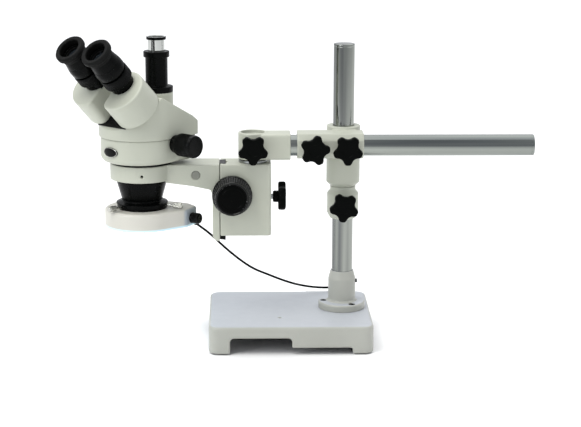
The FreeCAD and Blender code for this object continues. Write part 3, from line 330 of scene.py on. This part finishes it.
IVORY = painted("ivory_enamel", (0.43, 0.445, 0.375))
PLUG_PAINT = painted("plug_paint", (0.20, 0.205, 0.175), roughness=0.5)
BASE_PAINT = base_paint("base_casting")
BLACK = plastic("black_knob_plastic", (0.0012, 0.0016, 0.0014), 0.38, gloss=0.035)
KNURL_BLACK = plastic("black_grip_plastic", (0.001, 0.0013, 0.0012), 0.16, 1200, strength=0.08, gloss=0.09)
# The focus knob's knurl crests are lifted to a light grey: a painted highlight on the diamonds.
FOCUS_BLACK = plastic("gloss_grip_plastic", (0.001, 0.0013, 0.0012), 0.15, 1200, strength=0.05, gloss=0.12,
                      wear_and_highlight=0.17, crest=0.51)
FACE_BLACK = plastic("black_knob_face", (0.001, 0.0012, 0.0011), 0.3, 1200, strength=0.08, gloss=0.03)
CORD_JACKET = plastic("cord_jacket", (0.004, 0.004, 0.0045), 0.45, 900, gloss=0.05)
RUBBER = plastic("black_rubber", (0.005, 0.0052, 0.005), 0.6, 1300, strength=0.3, gloss=0.08)
GLOSS_BLACK = plastic("gloss_black_enamel", (0.0015, 0.0017, 0.0015), 0.12, 400, strength=0.03, gloss=0.1)
SATIN_BLACK = polished("satin_black_enamel", (0.0012, 0.0015, 0.0014), 0.24, (1, 1, 3), metallic=0.0,
                       gloss=0.06)
ANODISED = polished("black_anodised", (0.004, 0.004, 0.0043), 0.30, (1, 1, 14), metallic=0.0, gloss=0.12)
CHROME = drawn_chrome("chrome_plate", (0.09, 0.095, 0.10), (0.33, 0.345, 0.315), (1, 1, 0.02))
CHROME_X = drawn_chrome("chrome_plate_boom", (0.10, 0.11, 0.115), (0.33, 0.35, 0.32), (0.02, 1, 1))
STEEL = polished("turned_steel", (0.34, 0.35, 0.355), 0.28, (1, 1, 12))
DARK_STEEL = polished("black_oxide_steel", (0.03, 0.03, 0.033), 0.4, (1, 1, 6))
BRASS = polished("turned_brass", (0.72, 0.52, 0.24), 0.3, (1, 1, 8))
BRIGHT_CHROME = polished("bright_chrome", (0.52, 0.53, 0.51), 0.12, (1, 1, 0.05))
SILVER = polished("silver_rim", (0.52, 0.52, 0.48), 0.22, (1, 1, 1))
LENS = glass("coated_glass", (0.25, 0.5, 0.32))
DIFFUSER = lit_diffuser("lamp_diffuser")


# ---------------------------------------------------------------- building pieces

def add_piece(name, mesh, material, body, smooth_angle=32):
    """Link a finished mesh as a piece of the object, riding on a body."""
    mesh.materials.clear()
    mesh.materials.append(material)
    mesh.shade_smooth()
    mesh.set_sharp_from_angle(angle=math.radians(smooth_angle))
    piece = bpy.data.objects.new(name, mesh)
    bpy.context.scene.collection.objects.link(piece)
    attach(piece, body)
    return piece


def mesh_from(bm, name, matrix=None):
    if matrix is not None:
        bmesh.ops.transform(bm, matrix=matrix, verts=bm.verts)
    bmesh.ops.recalc_face_normals(bm, faces=bm.faces)
    mesh = bpy.data.meshes.new(name)
    bm.to_mesh(mesh)
    bm.free()
    return mesh


def joined(name, meshes):
    """Several meshes as one."""
    bm = bmesh.new()
    for mesh in meshes:
        bm.from_mesh(mesh)
    return mesh_from(bm, name)


def eased(profile, radius):
    """A closed profile with each corner off the axis rounded; a point's third value is its own radius."""
    result, count, steps = [], len(profile), 4
    for i, (r, height, *own) in enumerate(profile):
        corner = Vector((r, height))
        before, after = Vector(profile[i - 1][:2]), Vector(profile[(i + 1) % count][:2])
        in_run, out_run = corner - before, after - corner
        rounding = own[0] if own else radius
        if r < 1e-6 or not rounding or min(in_run.length, out_run.length) < 1e-6:
            result.append((r, height))
            continue
        turn = in_run.angle(out_run)
        if turn < 0.12 or turn > 3.0:
            result.append((r, height))
            continue
        reach = min(rounding * math.tan(turn / 2), 0.45 * in_run.length, 0.45 * out_run.length)
        start, end = corner - in_run.normalized() * reach, corner + out_run.normalized() * reach
        for step in range(steps + 1):
            t = step / steps
            result.append(tuple(start * (1 - t) ** 2 + corner * 2 * t * (1 - t) + end * t ** 2))
    return result


def lathe_mesh(name, profile, matrix, segments=96, shape=None, ease=0.5):
    """Turn a closed (radius, height) profile; shape(radius, height, angle) may change the radius."""
    profile = eased(profile, ease)
    bm = bmesh.new()
    columns = []
    for radius, height in profile:
        if radius < 1e-6:
            columns.append([bm.verts.new((0, 0, height))] * segments)
            continue
        ring = []
        for k in range(segments):
            angle = TAU * k / segments
            r = shape(radius, height, angle) if shape else radius
            ring.append(bm.verts.new((r * math.cos(angle), r * math.sin(angle), height)))
        columns.append(ring)
    for i, ring in enumerate(columns):
        after = columns[(i + 1) % len(columns)]
        for k in range(segments):
            corners = [ring[k], ring[(k + 1) % segments], after[(k + 1) % segments], after[k]]
            unique = [v for n, v in enumerate(corners) if v not in corners[:n]]
            if len(unique) > 2:
                bm.faces.new(unique)
    return mesh_from(bm, name, matrix)


def lathe(name, profile, matrix, material, body, smooth_angle=32, **options):
    return add_piece(name, lathe_mesh(name, profile, matrix, **options), material, body, smooth_angle)


def apply_modifiers(piece):
    depsgraph = bpy.context.evaluated_depsgraph_get()
    mesh = bpy.data.meshes.new_from_object(piece.evaluated_get(depsgraph))
    piece.modifiers.clear()
    piece.data = mesh


def recast(node, voxel, rounds, material, faces):
    """The CAD shape remeshed and relaxed, for a casting with generous soft edges."""
    piece = add_piece(node + "_cast", NODES[node].data.copy(), material, BODY_OF[node], 60)
    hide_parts(node)
    remesh = piece.modifiers.new("remesh", "REMESH")
    remesh.mode, remesh.voxel_size = "VOXEL", voxel / 1000
    relax = piece.modifiers.new("relax", "SMOOTH")
    relax.factor, relax.iterations = 0.6, rounds
    apply_modifiers(piece)
    thin = piece.modifiers.new("thin", "DECIMATE")
    thin.ratio = min(1.0, faces / len(piece.data.polygons))
    apply_modifiers(piece)
    piece.data.materials.clear()
    piece.data.materials.append(material)
    piece.data.shade_smooth()


def stands_for(piece, *nodes):
    """The piece takes the place of these CAD nodes, which are hidden."""
    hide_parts(*nodes)
    return piece


def finish_node(node, material):
    """A CAD node that stays gets a node-based material on its own object."""
    for slot in NODES[node].material_slots:
        slot.link = "OBJECT"
        slot.material = material


# ---------------------------------------------------------------- the cord and what is on it

CORD_ROUTE = [(-0.2235, -0.0272, 0.1839), (-0.213, -0.0176, 0.1736), (-0.2034, -0.0085, 0.1636),
              (-0.192, 0.001, 0.150), (-0.1746, 0.013, 0.1305), (-0.1544, 0.026, 0.1105),
              (-0.1356, 0.037, 0.095), (-0.1134, 0.048, 0.0832), (-0.0918, 0.058, 0.0716),
              (-0.070, 0.066, 0.0622), (-0.046, 0.073, 0.0556), (-0.0248, 0.079, 0.0523),
              (-0.008, 0.086, 0.051), (0.002, 0.096, 0.047), (0.005, 0.103, 0.036),
              (0.0015, 0.1055, 0.020), (-0.011, 0.106, 0.0075), (-0.025, 0.1046, 0.0022),
              (-0.038, 0.1044, 0.0018), (-0.053, 0.1055, 0.0018)]
CORD_DIAMETER = 0.0035
COIL_MIDDLE = Vector((-0.075, 0.131, 0))
COIL_RINGS = (0.02425, 0.02075, 0.01725)
COIL_LAYERS = 4
NOSE_X = -0.066


def coil_points():
    """Rings side by side in four layers, wound clockwise; the last ring is half a turn."""
    per_turn, easing = 16, 5
    order = []
    for layer in range(COIL_LAYERS):
        rings = COIL_RINGS if layer % 2 == 0 else tuple(reversed(COIL_RINGS))
        order += [(radius, layer) for radius in rings]
    points, turned = [], -90.0
    for number, (radius, layer) in enumerate(order):
        last = number == len(order) - 1
        next_radius, next_layer = order[number if last else number + 1]
        for step in range(per_turn // 2 + 1 if last else per_turn):
            blend = max(0.0, (step - (per_turn - easing)) / easing)
            r = radius + (next_radius - radius) * blend
            level = layer + (next_layer - layer) * blend
            angle = math.radians(turned)
            points.append(COIL_MIDDLE + Vector((r * math.cos(angle), r * math.sin(angle),
                                                CORD_DIAMETER * (0.5 + level))))
            turned -= 360 / per_turn
    return points


def make_cord():
    coil = coil_points()
    into_nose = Vector((NOSE_X, coil[-1].y, coil[-1].z))
    route = [Vector(p) for p in CORD_ROUTE] + coil + [into_nose]
    data = bpy.data.curves.new("light_lead", "CURVE")
    data.dimensions = "3D"
    data.bevel_depth, data.bevel_resolution = CORD_DIAMETER / 2, 5
    data.use_fill_caps = True
    data.resolution_u = 8
    spline = data.splines.new("NURBS")
    spline.points.add(len(route) - 1)
    for point, spot in zip(spline.points, route):
        point.co = (*spot, 1)
    spline.order_u = 3
    spline.use_endpoint_u = True
    data.materials.append(CORD_JACKET)
    lead = bpy.data.objects.new("light_lead", data)
    bpy.context.scene.collection.objects.link(lead)
    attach(lead, BODY_OF["light_cord"])
    stands_for(lead, "light_cord", "cord_coil")
    finish_node("power_adapter", BLACK)


make_cord()


# ---------------------------------------------------------------- grips

KNOB_TIP, SCALLOP_RADIUS, SCALLOP_REACH = 22.4, 11.0, 27.5


def star_radius(angle):
    """A disc with five round scallops cut out of its edge."""
    fifth = TAU / 5
    off = (angle % fifth) - fifth / 2
    across = SCALLOP_REACH * math.sin(off)
    if abs(across) >= SCALLOP_RADIUS:
        return KNOB_TIP
    return min(KNOB_TIP, SCALLOP_REACH * math.cos(off) - math.sqrt(SCALLOP_RADIUS ** 2 - across ** 2))


def star_outline(radius, height, angle):
    """The scalloped outline with its corners eased; what lies near the axis stays round."""
    reach = sum(star_radius(angle + math.radians(step)) for step in range(-6, 7, 2)) / 7 / KNOB_TIP
    share = min(1.0, max(0.0, (radius - 9.5) / 3))
    return radius * (1 + (reach - 1) * share)


def ribs(count, depth, low, high):
    """Fine straight ribs between two heights, as on a moulded or milled grip."""

    def shape(radius, height, angle):
        if not low < height < high:
            return radius
        return radius - depth * (0.5 - 0.5 * math.cos(count * angle)) ** 2

    return shape


def diamonds(count, depth, low, high):
    """Crossed knurling between two heights."""
    pitch = math.pi / 4.2

    def shape(radius, height, angle):
        if not low < height < high:
            return radius
        one = abs(math.sin(count * angle / 2 + height * pitch))
        two = abs(math.sin(count * angle / 2 - height * pitch))
        return radius - depth * (1 - min(one, two)) ** 2

    return shape


def star_knob(node, where, reach):
    """Plastic star on a short steel stud; height 0 is the wall's face, and the stud reaches below it."""
    body = BODY_OF[node]
    grip = [(0, 3), (7.6, 3, 1), (8.75, 5, 1), (8.75, 11, 0.6), (KNOB_TIP, 11, 3.4), (KNOB_TIP, 22.5, 3.6),
            (9.2, 22.5, 0.5), (8.6, 21.9, 0.5), (0, 21.9)]
    piece = lathe(node + "_grip", grip, where, BLACK, body, segments=150, shape=star_outline,
                  smooth_angle=50)
    stands_for(piece, node)
    stud = [(0, -reach), (3, -reach, 0.3), (3.9, 1 - reach, 0.2), (3.9, 3.5), (0, 3.5)]
    lathe(node + "_stud", stud, where, STEEL, body, segments=40)


def knob_places():
    """Each clamp knob's place on a wall, and the wall's distance from the axis of the tube it clamps."""
    boom_front = BOOM_Y - BOX_HALF
    return {
        "stop_collar_knob": (place(0, -COLLAR_RADIUS, COLLAR_KNOB_Z, TO_FRONT, (-97, "Z")), COLLAR_RADIUS),
        "column_clamp_knob": (place(0, SLEEVE_RADIUS, BOOM_Z, TO_BACK, (90, "Z")), SLEEVE_RADIUS),
        "boom_clamp_knob_left": (place(BOOM_KNOB_LEFT_X, boom_front, BOOM_Z - 1, TO_FRONT, (5, "Z")),
                                 BOX_HALF),
        "boom_clamp_knob_right": (place(BOOM_KNOB_RIGHT_X, boom_front, BOOM_Z - 1, TO_FRONT, (-90, "Z")),
                                  BOX_HALF),
        "knuckle_knob": (inside(POST, 0, -KNUCKLE_RADIUS, BOOM_Z, TO_FRONT, (-90, "Z")), KNUCKLE_RADIUS),
        "block_clamp_knob": (inside(POST, BLOCK_RIGHT - POST_X, 0, BLOCK_KNOB_Z, TO_RIGHT, (90, "Z")),
                             BLOCK_RIGHT - POST_X),
    }


for knob, (spot, wall) in knob_places().items():
    star_knob(knob, spot, wall - COLUMN_RADIUS - 0.1)


# ---------------------------------------------------------------- stand

def turned(node, profile, where, material, **options):
    """A turned piece that stands for one CAD node."""
    piece = lathe(node + "_turned", profile, where, material, BODY_OF[node], **options)
    return stands_for(piece, node)


def capped_tube(low, high):
    """The column's or the boom's tube, with a fine joint line below its closed, rounded end."""
    r, bore = COLUMN_RADIUS, COLUMN_BORE
    return [(bore, low), (r - 0.5, low, 0.4), (r, low + 1, 0.4), (r, high - 4.6), (r - 0.25, high - 4.3),
            (r - 0.25, high - 3.8), (r, high - 3.5), (r, high, 2.0), (0, high), (0, high - 5),
            (bore, high - 5)]


def make_stand():
    recast("base_casting", 1.3, 5, BASE_PAINT, 60000)
    recast("column_socket", 0.7, 3, BASE_PAINT, 40000)
    recast("crosshead", 0.9, 5, IVORY, 50000)
    recast("knuckle", 0.8, 4, IVORY, 40000)
    waist = COLLAR_RADIUS - 4.5
    turned("stop_collar", [(SLIDING_BORE, COLLAR_LOW), (waist, COLLAR_LOW, 1.5),
                           (COLLAR_RADIUS, COLLAR_LOW + 9, 5), (COLLAR_RADIUS, COLLAR_HIGH - 11, 4),
                           (waist, COLLAR_HIGH - 6, 3), (waist, COLLAR_HIGH, 0.8),
                           (SLIDING_BORE, COLLAR_HIGH)], WORLD, IVORY, segments=128)
    turned("column", capped_tube(COLUMN_LOW, COLUMN_TOP), WORLD, CHROME, segments=160, ease=0.15)
    turned("boom_tube", capped_tube(BOOM_LEFT, BOOM_RIGHT), place(0, BOOM_Y, BOOM_Z, TO_RIGHT), CHROME_X,
           segments=160, ease=0.15)
    seat = BLOCK_HIGH + 0.2
    turned("swivel_post", [(12, 206), (15, 206), (16, 207), (16, seat), (21.5, seat), (21.5, seat + 3.6),
                           (16, seat + 3.6), (16, 318, 1), (12, 318, 0.6)], POST, STEEL, segments=128)
    foot = [(0, 0), (8, 0, 0.5), (9, 1, 0.5), (9, 5), (0, 5)]
    meshes = [lathe_mesh("foot", foot, place(x, y), segments=64) for x in FOOT_X for y in FOOT_Y]
    feet = add_piece("rubber_foot_pads", joined("rubber_foot_pads", meshes), RUBBER, "stand")
    stands_for(feet, "rubber_feet")
    finish_node("socket_bolts", DARK_STEEL)
    finish_node("socket_set_screw", DARK_STEEL)


make_stand()


# ---------------------------------------------------------------- focus block and carrier

def make_focus():
    recast("focus_block", 0.9, 4, IVORY, 50000)
    recast("carrier_arm", 0.9, 5, IVORY, 60000)
    turned("hole_plug", [(0, 0), (6.45, 0), (6.45, 4, 0.8), (5.9, 4.6, 0.3), (0, 4.9)],
           place(PLUG_X, BOOM_Y - BLOCK_HALF + 4, PLUG_Z, TO_FRONT), PLUG_PAINT, segments=64)
    finish_node("dovetail_slide", ANODISED)
    finish_node("focus_rack", BRASS)
    finish_node("pinion_bushes", BRASS)
    finish_node("pinion_shaft", STEEL)
    knob = [(5.05, 29), (23, 29, 1), (26, 31.5, 1.2), (26.4, 33.4, 0.4), (30, 34, 0.8), (30, 41, 0.8)]
    knob += [(29.6 - 4.2 * row / 22, 41.6 + 19 * row / 22, 0) for row in range(23)]
    knob += [(25.0, 61.6, 0.3), (25.0, 64, 1.2), (23, 65, 0.8), (21.4, 63.4, 0.4), (0, 63.4), (0, 59),
             (5.05, 59)]
    face = [(0, 63.3), (21.0, 63.3, 0.3), (20.6, 64.1, 0.5), (16.5, 64.5, 0.4), (16, 64.2, 0.2),
            (15.5, 64.2, 0.2), (15, 64.5, 0.3), (0, 64.9)]
    grip = diamonds(24, 1.7, 41.8, 60.4)
    for side, flip in (("near", 0), ("far", 180)):
        where = inside(PINION, 0, 0, 0, (flip, "X"))
        turned("focus_knob_" + side, knob, where, FOCUS_BLACK, segments=288, shape=grip, smooth_angle=40)
        disc = lathe("focus_knob_face_" + side, face, where, FACE_BLACK, BODY_OF["focus_knob_" + side],
                     segments=128)


make_focus()


# ---------------------------------------------------------------- head

def make_head():
    recast("lower_housing", 1.2, 5, IVORY, 60000)
    recast("upper_housing", 1.1, 5, IVORY, 70000)
    ring_seat, foot = BLOCK_HIGH + 0.05, CONE_FOOT
    turned("mount_ring", [(30, RING_LOW), (38.1, RING_LOW), (38.1, ring_seat), (46, ring_seat),
                          (46, MOUNT_HIGH), (30, MOUNT_HIGH)], HEAD, ANODISED, segments=128)
    turned("objective_cone", [(26, RING_LOW), (37.8, RING_LOW), (37.8, RING_LOW - 4, 0.8),
                              (30.2, foot - 3.4, 0.4), (28, foot - 3.4), (28, foot - 10),
                              (24.05, foot - 10), (24.05, foot - 0.95), (26, foot - 0.95)],
           HEAD, SATIN_BLACK, segments=128)
    turned("objective_lens", [(0, foot - 6), (10, foot - 5.8, 3), (20, foot - 5, 2), (23.9, foot - 4),
                              (23.9, foot - 1), (0, foot - 1)], HEAD, LENS, segments=96)
    turned("light_adapter", [(28.05, foot - 16), (31.4, foot - 16), (31.4, foot - 10.6),
                             (38.6, foot - 10.6, 0.6), (38.6, foot - 8.2, 0.7), (31, foot - 5.4, 1.5),
                             (31, foot - 3.6, 0.2), (28.05, foot - 3.6)], HEAD, SATIN_BLACK, segments=128)
    finish_node("drum_plate", ANODISED)
    badge()
    photo_port()
    drive = inside(HEAD, ZOOM_X, 0, ZOOM_Z, TO_BACK)
    zoom_knob("near", drive, face=17, shoulder=9.7, length=40.7, shaft_end=UPPER_HALF + 33)
    zoom_knob("far", inside(drive, 0, 0, 0, (180, "X")), face=15, shoulder=3.5, length=16.5,
              shaft_end=UPPER_HALF + 12)
    finish_node("zoom_shaft", STEEL)


def photo_port():
    """The camera tube on the neck, and the chrome sleeve that slides in it, with its black rim."""
    port, neck, low, high = inside(HEAD, PORT_X, 0, 0), NECK_TOP, PHOTO_SLEEVE_LOW, PHOTO_SLEEVE_HIGH
    turned("photo_tube", [(12.5, neck - 6), (21, neck - 6), (21, neck), (24.5, neck, 0.8),
                          (24.5, neck + 8.4, 1.4), (16.7, neck + 10, 0.8), (16.7, neck + 51.6, 0.5),
                          (19.5, neck + 52.2, 0.8), (19.5, neck + 60, 1), (18.5, neck + 61, 0.8),
                          (12.5, neck + 61)], port, SATIN_BLACK, segments=128)
    turned("photo_sleeve", [(11.6, low), (12.45, low), (12.45, high - 4.5), (14.5, high - 4.1, 0.4),
                            (14.5, high - 0.5, 0.5), (14, high, 0.3), (11.6, high)], port, BRIGHT_CHROME,
           segments=128, ease=0.2)
    rim = [(11.62, high - 4.3), (14.75, high - 4.3, 0.3), (14.75, high - 0.05, 0.6), (11.62, high - 0.05)]
    cap = lathe("photo_sleeve_rim", rim, port, SATIN_BLACK, BODY_OF["photo_sleeve"], segments=128)


def zoom_knob(side, where, face, shoulder, length, shaft_end):
    """A ribbed knob with a smooth shoulder next to the housing and a slightly dished end."""
    start = UPPER_HALF + 0.3
    grip_low, grip_high, end = start + shoulder + 1.5, start + length - 4, start + length
    knob = [(4.05, start), (13.5, start, 0.6), (13.5, start + shoulder - 0.3, 0.4),
            (face - 0.4, start + shoulder, 0.8)]
    knob += [(face, grip_low + (grip_high - grip_low) * row / 6, 0) for row in range(7)]
    knob += [(face - 0.4, grip_high + 1, 0.4), (face - 0.8, end - 0.5, 1.4), (face - 3.4, end, 0.6),
             (face - 4.2, end - 0.6, 0.3), (0, end - 0.3), (0, shaft_end + 0.1), (4.05, shaft_end + 0.1)]
    turned("zoom_knob_" + side, knob, where, KNURL_BLACK, segments=288,
           shape=ribs(72, 0.55, grip_low + 0.1, grip_high - 0.1), smooth_angle=40)


def badge():
    """A plain domed oval on the housing's curve, with a fine raised line round it."""
    centre, radius, middle = LOWER_FRONT - LOWER_HALF, LOWER_HALF + 0.15, BADGE_Z
    across, tall, count = 14.6, 7.4, 72

    def spot(share, angle, lift):
        y, z = across * share * math.cos(angle) - 3, middle + tall * share * math.sin(angle)
        x = centre + math.sqrt(radius * radius - y * y)
        return Vector((x, y, z)) + lift * Vector((x - centre, y, 0)).normalized()

    rows = [(1.0, 0.0), (1.0, 0.9), (0.985, 1.2), (0.93, 1.35), (0.6, 1.5), (0.3, 1.6)]
    bm = bmesh.new()
    rings = [[bm.verts.new(spot(share, TAU * k / count, lift)) for k in range(count)]
             for share, lift in rows]
    for ring, after in zip(rings, rings[1:]):
        for k in range(count):
            bm.faces.new((ring[k], ring[(k + 1) % count], after[(k + 1) % count], after[k]))
    bm.faces.new(reversed(rings[0]))
    bm.faces.new(rings[-1])
    plate = add_piece("badge_plate", mesh_from(bm, "badge_plate", HEAD), GLOSS_BLACK, BODY_OF["badge"])
    stands_for(plate, "badge")
    bm = bmesh.new()
    rings = []
    for step in range(count):
        angle = TAU * step / count
        here, after = spot(0.92, angle, 1.45), spot(0.92, angle + 0.01, 1.45)
        outward = (here - Vector((centre, 0, here.z))).normalized()
        side = outward.cross((after - here).normalized())
        rings.append([bm.verts.new(here + 0.45 * (outward * math.cos(a) + side * math.sin(a)))
                      for a in (TAU * k / 8 for k in range(8))])
    for i, ring in enumerate(rings):
        after = rings[(i + 1) % count]
        for k in range(8):
            bm.faces.new((ring[k], ring[(k + 1) % 8], after[(k + 1) % 8], after[k]))
    line = add_piece("badge_border", mesh_from(bm, "badge_border", HEAD), SILVER, BODY_OF["badge"])


make_head()


# ---------------------------------------------------------------- binocular

def eyepiece(where, side):
    """One prism housing with its eye tube, diopter ring, eyepiece, lens and rubber cup."""
    drum = inside(EYES, DRUM_X, side * DRUM_Y, 0)
    eye = inside(drum, EYE_X, side * EYE_Y, 0)
    recast("prism_housing_" + where, 0.8, 5, IVORY, 50000)
    seat, rim = DRUM_TOP, DRUM_TOP + 31.9
    turned("eyetube_" + where, [(15.05, seat - 3), (16.5, seat - 3), (16.5, seat), (18.2, seat, 0.6),
                                (18.2, seat + 10, 0.8), (16.5, seat + 10), (16.5, seat + 31.5),
                                (15.05, seat + 31.5)], eye, SATIN_BLACK, segments=96)
    low, high = seat + 10.6, seat + 28.6
    ring = [(16.6, low), (20.8, low, 0.5), (21.8, low + 1.4, 0.5)]
    ring += [(22.4, low + 1.8 + 14.4 * row / 4, 0) for row in range(5)]
    ring += [(22, high - 1, 0.3), (21.6, high, 0.5), (16.6, high)]
    turned("diopter_ring_" + where, ring, eye, SATIN_BLACK, segments=288,
           shape=ribs(96, 0.4, low + 1.7, high - 1.7), smooth_angle=40)
    turned("eyepiece_" + where, [(11, seat + 10), (14.95, seat + 10), (14.95, rim), (22, rim, 0.8),
                                 (22.1, rim + 8, 2.5), (20.9, rim + 15.4, 0.3), (20.4, rim + 15.8, 0.2),
                                 (20.3, rim + 16.6, 0.2), (20.6, rim + 17, 0.3), (18.7, rim + 29, 2),
                                 (18.6, rim + 33), (14, rim + 33), (14, rim + 30.5, 0.4),
                                 (12.6, rim + 29.2), (12.6, rim + 27), (11, rim + 27)],
           eye, SATIN_BLACK, segments=128)
    lens = [(0, rim + 29.8), (5, rim + 29.5, 2), (10, rim + 28.6, 2), (12.5, rim + 27.6),
            (12.5, rim + 27.1), (0, rim + 27.1)]
    bulge = lathe("eye_lens_" + where, lens, eye, LENS, BODY_OF["eyepiece_" + where], segments=96)
    turned("eyecup_" + where, [(18.65, rim + 30), (19.8, rim + 30, 0.5), (19.8, rim + 34.5, 1),
                               (23.3, rim + 37.3, 1.2), (23.3, rim + 42.2, 0.8), (21.4, rim + 44.5, 0.8),
                               (16.4, rim + 44.2, 1.2), (15.7, rim + 42.6, 0.6), (16.6, rim + 38, 1),
                               (17, rim + 33.05), (18.65, rim + 33.05)], eye, RUBBER, segments=128)


eyepiece("near", 1)
eyepiece("far", -1)


# ---------------------------------------------------------------- ring light

def facet_place(start, end, height):
    """The middle of an upright facet of the light's tail; height is along the facet's normal."""
    azimuth = math.degrees(math.atan2(end[1] - start[1], end[0] - start[0])) - 90
    return inside(LIGHT, (start[0] + end[0]) / 2, (start[1] + end[1]) / 2, height, (azimuth, "Z"), TO_RIGHT)


def light_shell_paint():
    """Cream moulding; the lamps shine through its lowest edge, and the dimmer's facet is bluish."""
    shader = Shader("light_shell_cream", (0.52, 0.51, 0.46), 0.36)
    glow_high, glow_full = 0.1903, 0.1887
    rim = shader.ramp(shader.parts(shader.coordinates)["Z"], glow_high, glow_full)
    start, end = Vector((*TAIL_KNOB_FROM, 0)) / 1000, Vector((*TAIL_KNOB_TO, 0)) / 1000
    outward = (end - start).normalized().cross(Vector((0, 0, 1)))
    face = (LIGHT.translation + start).dot(outward)
    reach = shader.vector_math("DOT_PRODUCT", shader.coordinates, outward)["Value"]
    panel = shader.ramp(reach, face - 0.0028, face - 0.0008)
    cream = shader.mix(shader.spread(shader.noise(20), 0, 1), (0.49, 0.48, 0.43), (0.54, 0.53, 0.48))
    wear_and_highlight = shader.mix(shader.edges(0.53, 0.62), cream, (0.66, 0.66, 0.60))
    tinted = shader.mix(panel, wear_and_highlight, (0.31, 0.35, 0.39))
    shader.feed("Base Color", shader.mix(rim, tinted, (0.56, 0.70, 0.76)))
    shader.feed("Emission Color", shader.mix(rim, (0, 0, 0), (0.05, 0.12, 0.15)))
    shader.set("Emission Strength", 1.0)
    shader.bump(shader.noise(1500, 2), 0.08, 0.0003)
    return shader.material


def make_light():
    recast("light_housing", 0.9, 4, light_shell_paint(), 60000)
    turned("led_ring", [(36.1, LED_LOW + 1.2), (37, LED_LOW, 0.4), (52, LED_LOW, 0.4),
                        (52.9, LED_LOW + 1.2), (52.9, LED_HIGH), (36.1, LED_HIGH)],
           LIGHT, DIFFUSER, segments=128)
    low, high = LIGHT_HIGH, LIGHT_HIGH + 8.3
    turned("light_collar", [(31.5, low), (37.5, low), (37.5, high - 0.5, 0.5), (37, high, 0.4),
                            (31.5, high)], LIGHT, SATIN_BLACK, segments=128)
    screw = [(0, 31.8), (1.95, 31.8), (1.95, 49.8), (2.6, 50, 0.3), (4.1, 50.6, 0.4)]
    screw += [(4.3, 51.4 + 10.4 * row / 5, 0) for row in range(6)]
    screw += [(3.6, 63.9, 0.4), (0, 64)]
    for number, azimuth in enumerate(LIGHT_SCREW_DEGS, start=1):
        turned("light_screw_%d" % number, screw,
               inside(LIGHT, 0, 0, LIGHT_SCREW_Z, (azimuth, "Z"), TO_RIGHT), SILVER, segments=96,
               shape=ribs(24, 0.35, 51.3, 61.9), smooth_angle=40)
    dimmer = [(0, -7.5), (3, -7.5), (3, 0.4), (7.7, 0.4, 0.4), (8.2, 1.6, 0.5)]
    dimmer += [(8.1, 2.2 + 10 * row / 4, 0) for row in range(5)]
    dimmer += [(7.8, 13.6, 1.0), (6.6, 15, 1.0), (0, 14.6)]
    turned("dimmer_knob", dimmer, facet_place(TAIL_KNOB_FROM, TAIL_KNOB_TO, DIMMER_Z), KNURL_BLACK,
           segments=144, shape=ribs(24, 0.5, 2.1, 12.3), smooth_angle=40)
    start, after = Vector(CORD_ROUTE[0]), Vector(CORD_ROUTE[1])
    along = (after - start).to_track_quat("Z", "Y").to_matrix().to_4x4()
    cone = Matrix.Translation(start) @ along @ Matrix.Scale(0.001, 4)
    gland = [(0, -14), (4, -14), (4, -9, 0.5)]
    for groove in range(3):
        z = -8.2 + 2.4 * groove
        r = 3.9 - 0.36 * groove
        gland += [(r, z, 0.1), (r - 0.6, z + 0.5, 0.1), (r - 0.6, z + 1.2, 0.1), (r - 0.15, z + 1.6, 0.1)]
    gland += [(2.7, 0, 0.3), (0, 0)]
    turned("cord_gland", gland, cone, RUBBER, segments=48, ease=0.1)


make_light()


# ---------------------------------------------------------------- floor, lights and surroundings

def make_floor():
    """A pale floor, wide enough to reach past the picture on every side."""
    shader = Shader("pale_floor", (0.93, 0.93, 0.93), 0.7)
    tone = shader.spread(shader.noise(2), 0, 1)
    shader.feed("Base Color", shader.mix(tone, (0.92, 0.92, 0.92), (0.94, 0.94, 0.94)))
    bm = bmesh.new()
    bmesh.ops.create_grid(bm, x_segments=1, y_segments=1, size=25)
    mesh = bpy.data.meshes.new("floor")
    bm.to_mesh(mesh)
    bm.free()
    mesh.materials.append(shader.material)
    floor = bpy.data.objects.new("floor", mesh)
    bpy.context.scene.collection.objects.link(floor)


def area_light(name, location, target, size, power, color):
    data = bpy.data.lights.new(name, "AREA")
    data.shape, data.size, data.size_y = "RECTANGLE", size[0], size[1]
    data.energy, data.color = power, color
    lamp = bpy.data.objects.new(name, data)
    bpy.context.scene.collection.objects.link(lamp)
    direction = Vector(target) - Vector(location)
    lamp.matrix_world = Matrix.Translation(location) @ direction.to_track_quat("-Z", "Y").to_matrix().to_4x4()


def make_studio():
    make_floor()
    world = bpy.data.worlds.new("studio")
    world.use_nodes = True
    background = world.node_tree.nodes["Background"]
    background.inputs["Color"].default_value = (0.95, 0.97, 1.0, 1)
    background.inputs["Strength"].default_value = 0.78
    bpy.context.scene.world = world
    area_light("ceiling", (0, 2.2, 4.2), (0, 2.2, 0), (9, 7), 230, (1, 1, 1))
    area_light("overhead", (-0.9, -0.9, 2.0), (-0.15, 0, 0.2), (0.9, 0.9), 20, (1, 0.985, 0.94))
    area_light("window", (-2.0, -1.6, 1.2), (-0.2, 0, 0.3), (0.5, 1.3), 12, (0.93, 0.96, 1.0))
    bpy.context.scene.view_settings.view_transform = "Standard"


make_studio()
